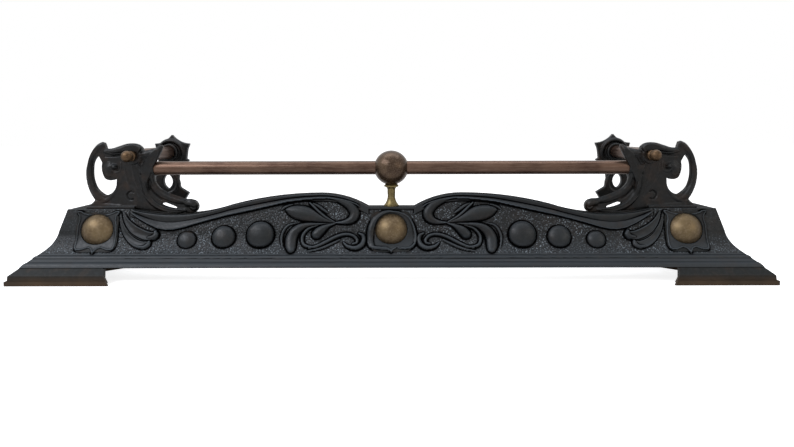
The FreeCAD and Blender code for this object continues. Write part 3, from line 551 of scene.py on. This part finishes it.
def casting(name, node, side, bars):
    """The CAD solid and its sculpted bars as one body, its edges softened as a sand casting's are."""
    mesh = bmesh.new()
    mesh.from_mesh(nodes[node].data)
    for rows in bars:
        points, faces = swept(rows, side)
        corners = [mesh.verts.new(point) for point in (points * MM).tolist()]
        for face in faces:
            mesh.faces.new([corners[k] for k in face])
    data = bpy.data.meshes.new(name)
    mesh.to_mesh(data)
    mesh.free()
    piece = bpy.data.objects.new(name, data)
    bpy.context.scene.collection.objects.link(piece)
    weld = piece.modifiers.new("weld", "WELD")
    weld.merge_threshold = WELD * MM
    remesh = piece.modifiers.new("remesh", "REMESH")
    remesh.mode = "VOXEL"
    remesh.voxel_size = VOXEL * MM
    soften = piece.modifiers.new("soften", "SMOOTH")
    soften.factor = 0.5
    soften.iterations = SOFTENING_ROUNDS
    apply_modifiers(piece)
    piece.data.shade_smooth()
    return piece


def carve(piece, side, strokes, plane_y, foremost):
    """Raise strokes on the plate's flat face and sink others into any face that looks forward.

    Nothing comes further forward than the foremost Y.
    """
    mesh = piece.data
    count = len(mesh.vertices)
    points = np.zeros(count * 3, np.float32)
    mesh.vertices.foreach_get("co", points)
    points = points.reshape(-1, 3) / MM
    normals = np.zeros(count * 3, np.float32)
    mesh.vertex_normals.foreach_get("vector", normals)
    normals = normals.reshape(-1, 3)
    out = points[:, 0].astype(float) * side
    up = points[:, 2].astype(float)
    raised = np.zeros(count)
    sunk = np.zeros(count)
    for shape, rise, rows in strokes:
        stroke(sunk if rise < 0 else raised, out, up, rows, rise, SHAPES[shape], CARVED_TAPER)
    facing = smoothstep(*FACING_RANGE, -normals[:, 1])
    flat = smoothstep(*FLAT_RANGE, np.abs(points[:, 1] - plane_y))
    points[:, 1] -= (raised * flat * RAISED_SHARE + sunk) * facing
    points[:, 1] = np.maximum(points[:, 1], foremost)
    mesh.vertices.foreach_set("co", (points * MM).reshape(-1).astype(np.float32))
    mesh.update()


# carved strokes of the brackets: distance out, height and half width
CORNER_STROKES = [
    ("rounded", 3.4, [(531, 245, 4.0), (541, 238, 5.6), (550, 229, 5.4), (557, 217, 4.8),
                      (561, 202, 4.4), (561.5, 186, 4.2), (559, 170, 4.4), (553, 156, 5.0),
                      (544, 145, 5.4), (536, 141, 4.2)]),
    ("rounded", 7.0, [(528, 231, 3.0), (514, 230, 5.4), (499, 233, 6.8), (484, 236, 7.4),
                      (470, 234, 8.0), (463, 229, 6.4)]),
    ("scooped", 4.0, [(461, 229, 4.3), (450, 226, 6.9), (456, 216, 7.7), (466, 206, 6.4)]),
    ("rounded", 7.2, [(438, 239, 2.0), (444, 226, 3.2), (454, 209, 4.0), (460, 191, 4.4),
                      (461, 174, 4.6), (457, 157, 5.0), (449, 142, 5.4), (436, 130, 5.6),
                      (419, 123, 5.2), (402, 121, 4.8), (385, 122, 3.8)]),
    ("rounded", 5.0, [(446, 195, 2.1), (448, 180, 3.0), (443, 166, 3.6), (432, 154, 4.4),
                      (418, 146, 5.0), (401, 140, 4.8), (386, 137, 4.0)]),
    ("rounded", 8.0, [(378, 137, 5.0), (371, 135, 7.2), (369, 127, 6.0)]),
    ("rounded", 3.4, [(522, 208, 5.4), (526, 196, 8.6), (522, 187, 6.0)]),
    ("rounded", 6.6, [(510, 204, 4.2), (511, 203, 4.2)]),
    ("rounded", 2.8, [(500, 210, 1.4), (502, 197, 1.8), (511, 192.5, 1.8), (519, 198, 1.6)]),
    ("rounded", 5.4, [(441.5, 227, 3.2), (441, 226, 3.2)]),
    ("rounded", 3.4, [(550, 137, 3.6), (537, 138.5, 3.2), (526, 143.5, 3.2), (517, 153, 2.8),
                      (510, 165, 2.2), (508, 180, 1.4)]),
    ("rounded", 3.0, [(572, 131, 2.2), (556, 133, 3.2), (531, 132, 3.0), (505, 130.5, 2.6)]),
    ("rounded", 2.2, [(494, 206, 1.2), (492, 188, 2.0), (486, 170, 2.4), (474, 158, 2.2),
                      (468, 146, 1.4)]),
    ("rounded", 1.8, [(480, 206, 1.0), (478, 192, 1.8), (475, 176, 1.8), (470, 162, 1.2)]),
    ("rounded", -3.2, [(479, 155, 1.4), (485, 157, 1.7), (491, 152.5, 1.8), (491, 146, 1.8),
                       (486, 141.5, 1.6), (480, 142.5, 1.2)]),
    ("rounded", -2.4, [(452, 196, 0.9), (453.5, 180, 1.3), (450, 165, 1.3), (441, 152, 1.3),
                       (428, 141.5, 1.2)]),
    ("rounded", -2.0, [(530, 222, 0.9), (515, 221.5, 1.3), (500, 224, 1.4), (486, 226.5, 1.2),
                       (474, 224, 0.9)]),
]
REAR_STROKES = [
    ("rounded", 4.6, [(451, 206, 3.0), (450, 220, 4.0), (453, 234, 4.4), (462, 244, 4.8),
                      (474, 248, 5.0), (486, 246, 4.8), (495, 238, 4.4), (500, 226, 3.6),
                      (498, 212, 2.2)]),
    ("rounded", 3.0, [(470, 262, 1.2), (471, 255, 2.6), (472, 249, 3.4)]),
    ("rounded", 2.4, [(439, 243, 1.2), (447, 243, 2.2), (454, 240, 2.6)]),
    ("rounded", 2.4, [(507, 243, 1.2), (499, 243, 2.2), (491, 241, 2.6)]),
    ("rounded", 3.6, [(480, 196, 3.0), (474, 182, 3.2), (468, 168, 4.0), (464, 154, 5.0),
                      (466, 141, 5.4), (480, 132, 4.8), (498, 127, 3.6), (520, 126, 2.4)]),
    ("rounded", 3.0, [(444, 139, 2.4), (452, 135, 4.0), (464, 130, 4.6)]),
    ("rounded", -2.0, [(470, 190, 0.8), (464, 176, 1.2), (458, 160, 1.2), (456, 146, 1.0)]),
]

# bars: distance out, height, distance in front of the bracket's middle, half width, half depth
CORNER_BARS = [
    # handle, from its tip down to the foot
    [(531, 246, 0, 4.2, 6), (540, 239, 0, 6.4, 8), (550, 227, 0, 6.0, 8), (556.5, 213, 0, 5.6, 8),
     (559, 198, 0, 5.4, 8), (559, 182, 0, 5.4, 8), (555.5, 167, 0, 5.4, 8), (550, 154, 0, 5.4, 8),
     (541, 143, 0, 5.2, 8)],
    # flap over the head and the cheek between it and the band
    [(528, 233, 2, 3.5, 6), (514, 232, 3, 5.5, 9), (498, 235, 4, 7.0, 11), (484, 238, 5, 8.0, 12),
     (470, 237, 6, 8.8, 13), (462, 232, 5, 8.0, 11)],
    [(467, 225, 3, 4.0, 6), (457, 225, 5, 7.5, 9), (446, 227, 6, 7.5, 9), (436, 231, 6, 6.0, 8),
     (428, 235, 5, 4.0, 6)],
    [(449, 222, 4, 6.0, 8), (457, 213, 4, 8.5, 8), (466, 206, 3, 6.0, 7)],
    # broad band that wraps the rail's end and runs down into the arm's lower curve
    [(422, 242, 5, 3.0, 5), (428, 234, 8, 6.4, 8), (437, 220, 11, 8.4, 10), (446, 206, 12, 9.0, 11),
     (451.5, 191, 11, 8.6, 10), (455, 176, 8, 7.0, 9), (456, 160, 5, 6.2, 8), (450, 146, 3, 5.6, 7),
     (438, 133, 2, 5.4, 7), (422, 125, 2, 5.2, 7), (405, 121, 2, 4.8, 7), (389, 120.5, 2, 4.4, 7)],
    # the arm's upper curve and the animal-like end of the arm
    [(441, 196, 5, 2.6, 5), (442.5, 185, 6, 3.8, 7), (440, 171, 4, 4.2, 7), (431.5, 159, 2, 4.4, 7),
     (415, 149, 1, 4.6, 7), (399, 143, 1, 4.6, 7), (385, 138.5, 1, 4.2, 7)],
    [(384, 134, 1, 6.0, 8), (375, 135, 2, 8.0, 10), (368, 131.5, 2, 7.0, 10), (367, 125, 1, 5.0, 8)],
    # wing behind the head
    [(512, 207, 2, 4.0, 6), (520, 202, 3, 7.5, 8), (524, 193, 3, 8.5, 7), (521, 186, 2, 6.0, 6)],
    [(512, 187, 0, 4.4, 6), (521, 184.5, 0, 4.0, 6), (529, 181, 0, 2.6, 5)],
    [(517, 206, 4, 3.0, 5), (511, 203, 6, 4.8, 8), (506, 200, 4, 3.0, 5)],
]
REAR_BARS = [
    [(451, 208, 1, 3.0, 6), (449, 222, 2, 4.0, 8), (453, 236, 3, 4.4, 9), (463, 245, 3, 4.8, 9),
     (475, 248, 3, 5.0, 9), (487, 245, 3, 4.8, 9), (497, 236, 3, 4.4, 9), (501, 222, 2, 4.0, 8),
     (499, 208, 1, 3.0, 6)],
    [(478, 198, 0, 4.0, 7), (472, 182, 0, 4.4, 8), (466, 166, 0, 5.0, 8), (464, 152, 0, 5.4, 8),
     (471, 140, 0, 5.4, 8), (486, 133, 0, 5.0, 8), (506, 129, 0, 3.6, 7)],
]


CORNER_FACE_AHEAD = 6  # the corner brackets' flat face, in front of their middle
BOX_MARGIN = 0.1


def bracket(word, side, which, middle_y, face_y, bars, strokes):
    """One bracket: the CAD casting with its bars and strokes, in place of the plain solid."""
    node = f"{word}_{which}_bracket"
    placed = [[(x, z, middle_y - ahead, wide, deep) for x, z, ahead, wide, deep in rows] for rows in bars]
    piece = casting(f"{word}_{which}_casting", node, side, placed)
    carve(piece, side, strokes, face_y, box_mm(node)[0][1] + BOX_MARGIN)
    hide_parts(node)
    return piece


brackets = []
for side, word in ((1, "right"), (-1, "left")):
    brackets.append(bracket(word, side, "corner", bracket_y, bracket_y - CORNER_FACE_AHEAD,
                            CORNER_BARS, CORNER_STROKES))
    brackets.append(bracket(word, side, "rear", rear_y, middle(f"{word}_rear_bracket")[1],
                            REAR_BARS, REAR_STROKES))


# ---- materials ----

def linear(code):
    """A hex sRGB colour as linear light."""
    parts = [int(code[k:k + 2], 16) / 255 for k in (1, 3, 5)]
    return tuple(p / 12.92 if p <= 0.04045 else ((p + 0.055) / 1.055) ** 2.4 for p in parts) + (1.0,)


def add(tree, kind, inputs=None, **settings):
    """A shader node with its settings, and its inputs set to values or wired to sockets."""
    node = tree.nodes.new(kind)
    for key, value in settings.items():
        setattr(node, key, value)
    for key, value in (inputs or {}).items():
        if isinstance(value, bpy.types.NodeSocket):
            tree.links.new(value, node.inputs[key])
        else:
            node.inputs[key].default_value = value
    return node


def make_material(name, look):
    """A material whose look works out the shader's inputs from the place on the object."""
    material = bpy.data.materials.new(name)
    material.use_nodes = True
    tree = material.node_tree
    tree.nodes.clear()
    where = add(tree, "ShaderNodeTexCoord").outputs["Object"]
    shader = add(tree, "ShaderNodeBsdfPrincipled", look(tree, where))
    add(tree, "ShaderNodeOutputMaterial", {"Surface": shader.outputs["BSDF"]})
    return material


def per_metre(pitch_mm):
    """Texture scale whose features repeat at about this many millimetres."""
    return 1 / (pitch_mm * MM)


def lay_over(tree, color, layers):
    """Lay tones over a colour, each growing to its most as its source goes from start to full.

    Each layer is a source, its start and full values, the most of the tone that shows, and the tone.
    """
    for source, start, full, most, tone in layers:
        amount = add(tree, "ShaderNodeMapRange", {"Value": source, "From Min": start, "From Max": full,
                                                  "To Max": most}).outputs["Result"]
        tone = linear(tone) if isinstance(tone, str) else tone
        color = add(tree, "ShaderNodeMix", {0: amount, 6: color, 7: tone}, data_type="RGBA").outputs[2]
    return color


# pitches of the iron's patterns, in millimetres
BLACKING_PATCH = 80.0
CASTING_SKIN = 6.0
SAND_GRAIN = 1.1  # moulding sand is about 0.2 mm and too fine to show, so it's drawn coarser
STAIN_PATCH = 24.0
GLINT_PATCH = 38.0
HAMMER_PITCH = 3.0


def cast_iron(dark, pale, brown, staining, bloom, specular, rubbed=0.55, hammered=False):
    """Sand-cast iron, brushed with stove black.

    The sand leaves a faint grain under a soft sheen. The black has brown stains in patches and along the
    foot, and high edges rubbed paler. Painted on it are a cool sheen of light on faces that look up, shade
    on faces that look down and black shade in creases. Hammered adds the punched field between the ornament,
    with painted glints on its grains and dark between them, a painted cool reflection low on the panel, a
    painted highlight on the raised relief and black painted shade in its recesses.
    """
    def look(tree, where):
        broad, fine, grain, stains = (
            add(tree, "ShaderNodeTexNoise", {"Vector": where, "Scale": per_metre(pitch), "Detail": detail,
                                             "Roughness": rough}).outputs["Fac"]
            for pitch, detail, rough in ((BLACKING_PATCH, 3, 0.55), (CASTING_SKIN, 6, 0.65),
                                         (SAND_GRAIN, 3, 0.6), (STAIN_PATCH, 5, 0.55)))
        height = add(tree, "ShaderNodeSeparateXYZ", {"Vector": where}).outputs["Z"]
        geometry = add(tree, "ShaderNodeNewGeometry").outputs
        upward = add(tree, "ShaderNodeSeparateXYZ", {"Vector": geometry["Normal"]}).outputs["Z"]
        edge = geometry["Pointiness"]
        floor_stain = lay_over(tree, linear("#3a2e22"), [(broad, 0.4, 0.6, 1, "#4a3a2a")])
        color = lay_over(tree, linear(dark), [
            (broad, 0.35, 0.65, 1, pale),
            (fine, 0.45, 0.75, 0.5, "#25292c"),
            # painted light: bloom sets how much cool sheen is painted on faces that look up, standing in for
            # the light from above
            (upward, 0.2, 0.9, bloom, "#34393e"),
            # painted shade: faces that look down are darkened
            (upward, 0.05, -0.5, 0.6, "#060606"),
            (stains, 0.50, 0.70, staining, brown),
            (edge, 0.52, 0.60, rubbed, "#454a4c"),
            (height, 19 * MM, 5 * MM, 0.9, floor_stain),
            # painted shade: creases, where the pointiness is low, are painted near black
            (edge, 0.488, 0.44, 0.9, "#040404")])
        gloss = add(tree, "ShaderNodeMapRange", {"Value": fine, "From Min": 0.3, "From Max": 0.7,
                                                 "To Min": 0.52, "To Max": 0.26}).outputs["Result"]
        dust = add(tree, "ShaderNodeMapRange", {"Value": upward, "From Min": 0.58, "From Max": 0.88,
                                                "To Max": 0.85}).outputs["Result"]
        roughness = add(tree, "ShaderNodeMath", {0: gloss, 1: dust}, operation="MAXIMUM").outputs[0]
        shine = specular
        reliefs = [(fine, 0.35), (grain, 0.10)]
        if hammered:
            hollow, painted_highlight_rise, bare = (add(tree, "ShaderNodeAttribute", attribute_name=layer).outputs["Fac"]
                                   for layer in ("hollow", "painted_highlight_rise", "bare"))
            cells = add(tree, "ShaderNodeTexVoronoi",
                        {"Vector": where, "Scale": per_metre(HAMMER_PITCH), "Randomness": 0.85},
                        feature="SMOOTH_F1").outputs["Distance"]
            patches = add(tree, "ShaderNodeTexNoise", {"Vector": where, "Scale": per_metre(GLINT_PATCH),
                                                       "Detail": 3, "Roughness": 0.55}).outputs["Fac"]
            glint = add(tree, "ShaderNodeMapRange", {"Value": patches, "From Min": 0.38, "From Max": 0.62,
                                                     "To Min": 0.25}).outputs["Result"]
            pits, between, peaks = (
                add(tree, "ShaderNodeMath", {0: bare, 1: by}, operation="MULTIPLY").outputs[0]
                for by in (cells, 0.6, glint))
            color = lay_over(tree, color, [
                # painted reflection: the panel is paler and cooler low down towards the cove, standing in
                # for the light it catches from above
                (height, 82 * MM, 52 * MM, 0.35, "#31373c"),
                # painted highlight: relief that stands above its surroundings is painted paler
                (painted_highlight_rise, 0.5, 2.2, 0.5, "#454d54"),
                (cells, 0.34, 0.60, between, "#050505"),
                # painted highlight: bright glints on the grains of the punched ground, strongest in patches
                (cells, 0.34, 0.06, peaks, "#868f97"),
                # painted shade: recesses are painted near black
                (hollow, 0.12, 0.70, 0.98, "#010101")])
            # painted shade: the recesses also lose their reflection
            shine = add(tree, "ShaderNodeMapRange",
                        {"Value": hollow, "From Min": 0.12, "From Max": 0.70, "To Min": specular,
                         "To Max": specular * 0.02}).outputs["Result"]
            reliefs.append((pits, 1.9))
        surface = {}
        for relief, depth in reliefs:
            bump = add(tree, "ShaderNodeBump", {"Height": relief, "Strength": 1.0, "Distance": depth * MM,
                                                **surface})
            surface = {"Normal": bump.outputs["Normal"]}
        return {"Base Color": color, "Roughness": roughness, "Specular IOR Level": shine, **surface}
    return look


DIRT = "#2a1e12"
FLECK = 2.4  # millimetres


def aged_brass(dark, middle_tone, light, patch, smoothest, roughest, metal=0.9, spotting=0.5):
    """Turned or spun brass left to tarnish.

    The tool left it smooth, so it still shines softly through blotches of three tones, small dark
    flecks and the dirt in its hollows.
    """
    def look(tree, where):
        broad, fine, flecks = (
            add(tree, "ShaderNodeTexNoise", {"Vector": where, "Scale": per_metre(pitch), "Detail": detail,
                                             "Roughness": rough}).outputs["Fac"]
            for pitch, detail, rough in ((patch, 4, 0.55), (patch / 6, 6, 0.65), (FLECK, 2, 0.55)))
        edge = add(tree, "ShaderNodeNewGeometry").outputs["Pointiness"]
        color = lay_over(tree, linear(dark), [
            (broad, 0.38, 0.62, 1, middle_tone),
            (fine, 0.48, 0.72, 0.8, light),
            (edge, 0.48, 0.42, 0.8, DIRT),
            (flecks, 0.66, 0.74, spotting, DIRT)])
        roughness = add(tree, "ShaderNodeMapRange", {"Value": fine, "From Min": 0.3, "From Max": 0.7,
                                                     "To Min": smoothest, "To Max": roughest})
        bump = add(tree, "ShaderNodeBump", {"Height": fine, "Strength": 1.0, "Distance": 0.06 * MM})
        return {"Base Color": color, "Metallic": metal, "Roughness": roughness.outputs["Result"],
                "Normal": bump.outputs["Normal"]}
    return look


# the tube's patterns, in millimetres
DRAWN_LINE = 1.6  # the die's lines are about 0.1 mm apart and too fine to show, so they're drawn coarser
LINE_STRETCH = 0.06
HANDLED_PATCH = 60.0
TUBE_SPOT = 5.0
FACET_BLEND = 5.0


def drawn_tube(tree, where):
    """Brass tube pulled through a die and browned by handling.

    The die left fine lines along it, which draw the highlight out long and soft over darker patches.
    The bevel rounds the shading across the facets of the tube's mesh.
    """
    along = add(tree, "ShaderNodeMapping",
                {"Vector": where, "Scale": (LINE_STRETCH, 1.0, 1.0)}).outputs["Vector"]
    lines, patches, spots = (
        add(tree, "ShaderNodeTexNoise", {"Vector": place, "Scale": per_metre(pitch), "Detail": detail,
                                         "Roughness": rough}).outputs["Fac"]
        for place, pitch, detail, rough in ((along, DRAWN_LINE, 5, 0.7), (where, HANDLED_PATCH, 4, 0.55),
                                            (where, TUBE_SPOT, 5, 0.55)))
    color = lay_over(tree, linear("#443128"), [
        (patches, 0.38, 0.62, 1, "#5b463a"),
        (lines, 0.45, 0.75, 0.5, "#7d6a5c"),
        (spots, 0.62, 0.74, 0.6, "#281a13")])
    roughness = add(tree, "ShaderNodeMapRange", {"Value": patches, "From Min": 0.3, "From Max": 0.7,
                                                 "To Min": 0.26, "To Max": 0.40})
    bevel = add(tree, "ShaderNodeBevel", {"Radius": FACET_BLEND * MM}, samples=8)
    bump = add(tree, "ShaderNodeBump", {"Height": lines, "Strength": 1.0, "Distance": 0.03 * MM,
                                        "Normal": bevel.outputs["Normal"]})
    return {"Base Color": color, "Metallic": 0.85, "Roughness": roughness.outputs["Result"],
            "Normal": bump.outputs["Normal"]}


STEEL_PATCH = 5.0  # millimetres


def blackened_steel(tree, where):
    """Turned steel, oil-blackened: a dull grey sheen with a brown bloom of rust in small patches."""
    bloom = add(tree, "ShaderNodeTexNoise", {"Vector": where, "Scale": per_metre(STEEL_PATCH), "Detail": 4,
                                             "Roughness": 0.55}).outputs["Fac"]
    color = lay_over(tree, linear("#3b3c3d"), [(bloom, 0.4, 0.65, 1, "#4d3a2e")])
    roughness = add(tree, "ShaderNodeMapRange", {"Value": bloom, "From Min": 0.3, "From Max": 0.7,
                                                 "To Min": 0.4, "To Max": 0.6})
    bump = add(tree, "ShaderNodeBump", {"Height": bloom, "Strength": 1.0, "Distance": 0.05 * MM})
    return {"Base Color": color, "Metallic": 0.8, "Roughness": roughness.outputs["Result"],
            "Normal": bump.outputs["Normal"]}


# the front's face: stove black worn over the punched ground
iron_relief = make_material("cast_iron_hammered", cast_iron(
    "#0c0e0f", "#131617", "#291f18", 0.35, 0.5, 0.25, hammered=True))
# the foot, the returns and the inside: duller, browner and hardly rubbed
iron_plain = make_material("cast_iron", cast_iron(
    "#0c0d0c", "#121311", "#30251c", 0.6, 0.05, 0.14, rubbed=0.08))
# the brackets: handled, so their edges are rubbed
iron_bracket = make_material("cast_iron_brackets", cast_iron(
    "#0c0b0a", "#141210", "#2e2118", 0.6, 0.3, 0.22))
# the rails: copper-brown, with a long highlight
rail_brass = make_material("drawn_copper_brown_tube", drawn_tube)
# the ball: spun and gone dark, the smoothest of the fittings
ball_bronze = make_material("dark_bronze", aged_brass(
    "#3b2c20", "#4c3c2d", "#65564a", 14, 0.24, 0.36, metal=0.75, spotting=0.2))
# the post: turned, its yellow dulled to olive
post_brass = make_material("olive_brass", aged_brass("#5c5033", "#786a46", "#968a62", 12, 0.32, 0.5))
# the bosses: pressed domes with a grey-brown bloom
boss_brass = make_material("aged_brass", aged_brass(
    "#564836", "#665740", "#796a55", 24, 0.38, 0.52, spotting=0.15))
# the finial knobs: turned, browned by handling
knob_brass = make_material("brown_brass", aged_brass("#3c2e22", "#53412f", "#6b563f", 10, 0.36, 0.5))
steel = make_material("blackened_steel", blackened_steel)

CARRIED = {
    iron_plain: ["front_kerb", "left_return", "right_return"],
    rail_brass: ["left_front_rail", "right_front_rail", "left_side_rail", "right_side_rail", "rail_plugs"],
    ball_bronze: ["rail_ball"],
    post_brass: ["rail_post"],
    boss_brass: ["left_boss", "centre_boss", "right_boss"],
    knob_brass: ["left_finial_nut", "right_finial_nut"],
    steel: ["ball_stud", "post_stud", "post_washer", "post_nut", "boss_studs", "boss_washers", "boss_nuts",
            "left_tie_rod", "right_tie_rod", "rail_grub_screws", "rear_rod_washers", "rear_rod_nuts",
            "corner_joint_bolts", "corner_joint_nuts", "corner_bracket_screws", "rear_bracket_screws"],
}
for material, names in CARRIED.items():
    for name in names:
        slots = nodes[name].data.materials
        if len(slots) == 0:
            slots.append(material)
        for k in range(len(slots)):
            slots[k] = material

for piece in skins:
    piece.data.materials.append(iron_relief)
for piece in brackets:
    piece.data.materials.append(iron_bracket)
for piece in skins + brackets:
    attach(piece, "root")


# ---- stage, light and camera ----

# the floor, in millimetres
FLOOR_REACH = 9000
FLOOR_DROP = 0.2
FLOOR_PATCH = 400.0


def pale_floor(tree, where):
    """Matt pale board; its glow is for the camera alone, so it reads as white and keeps the shadow."""
    patches = add(tree, "ShaderNodeTexNoise", {"Vector": where, "Scale": per_metre(FLOOR_PATCH), "Detail": 2,
                                               "Roughness": 0.55}).outputs["Fac"]
    tone = lay_over(tree, linear("#f4f4f4"), [(patches, 0, 1, 1, "#ffffff")])
    seen = add(tree, "ShaderNodeLightPath").outputs["Is Camera Ray"]
    glow = add(tree, "ShaderNodeMapRange", {"Value": seen, "To Max": 0.82}).outputs["Result"]
    return {"Base Color": tone, "Roughness": 0.9, "Specular IOR Level": 0.1, "Emission Color": tone,
            "Emission Strength": glow}


def floor():
    corners = [(-1, -1), (1, -1), (1, 1), (-1, 1)]
    board = make_piece("floor", [(x * FLOOR_REACH, y * FLOOR_REACH, -FLOOR_DROP) for x, y in corners],
                       [(0, 1, 2, 3)], smooth=False)
    board.data.materials.append(make_material("pale_floor", pale_floor))


def soft_light(name, place, target, size, power, code):
    """An area light; place, target and size in metres, power in watts."""
    data = bpy.data.lights.new(name, "AREA")
    data.shape = "RECTANGLE"
    data.size, data.size_y = size
    data.energy = power
    data.color = linear(code)[:3]
    light = bpy.data.objects.new(name, data)
    light.location = place
    light.rotation_euler = (Vector(target) - Vector(place)).to_track_quat("-Z", "Y").to_euler()
    bpy.context.scene.collection.objects.link(light)


ROOM_LIGHT = 0.42


def studio_world():
    """A soft pale room, full white where the camera, a reflection or a see-through ray meets it."""
    world = bpy.data.worlds.new("studio")
    bpy.context.scene.world = world
    world.use_nodes = True
    tree = world.node_tree
    tree.nodes.clear()
    path = add(tree, "ShaderNodeLightPath").outputs
    seen = path["Is Camera Ray"]
    for ray in ("Is Glossy Ray", "Is Transmission Ray"):
        seen = add(tree, "ShaderNodeMath", {0: seen, 1: path[ray]}, operation="MAXIMUM").outputs[0]
    strength = add(tree, "ShaderNodeMapRange", {"Value": seen, "To Min": ROOM_LIGHT, "To Max": 1.0})
    background = add(tree, "ShaderNodeBackground", {"Color": linear("#ffffff"),
                                                    "Strength": strength.outputs["Result"]})
    add(tree, "ShaderNodeOutputWorld", {"Surface": background.outputs["Background"]})


# camera: place in millimetres, lens in millimetres, turns in degrees
CAMERA_PLACE = (13.8, -1174.1, 268.9)
CAMERA_LENS = 27.2
CAMERA_SHIFT = -0.0315
SENSOR_WIDTH = 36
CLIP_START = 0.01
PITCH, YAW, ROLL = 6.48, -0.17, -0.13


def camera():
    pitch, yaw, roll = (math.radians(a) for a in (PITCH, YAW, ROLL))
    ahead = Vector((math.sin(yaw) * math.cos(pitch), math.cos(yaw) * math.cos(pitch),
                    -math.sin(pitch)))
    level = Vector((math.cos(yaw), -math.sin(yaw), 0))
    above = level.cross(ahead)
    right = level * math.cos(roll) + above * math.sin(roll)
    up = -level * math.sin(roll) + above * math.cos(roll)
    data = bpy.data.cameras.new("camera")
    data.lens = CAMERA_LENS
    data.sensor_width = SENSOR_WIDTH
    data.shift_y = CAMERA_SHIFT
    data.clip_start = CLIP_START
    view = bpy.data.objects.new("camera", data)
    turn = Matrix((right, up, -ahead)).transposed().to_4x4()
    view.matrix_world = Matrix.Translation(Vector(CAMERA_PLACE) * MM) @ turn
    bpy.context.scene.collection.objects.link(view)
    bpy.context.scene.camera = view


floor()
studio_world()
soft_light("key", (-1.5, -1.15, 1.7), (-0.1, 0, 0.1), (2.0, 1.0), 36, "#f4f7ff")
soft_light("fill", (1.6, -1.2, 0.9), (0.2, 0, 0.1), (1.2, 1.0), 4, "#fff6ea")
soft_light("top", (0, 0.2, 2.0), (0, 0, 0), (2.4, 1.0), 20, "#edf1f8")
camera()
bpy.context.scene.view_settings.view_transform = "Standard"
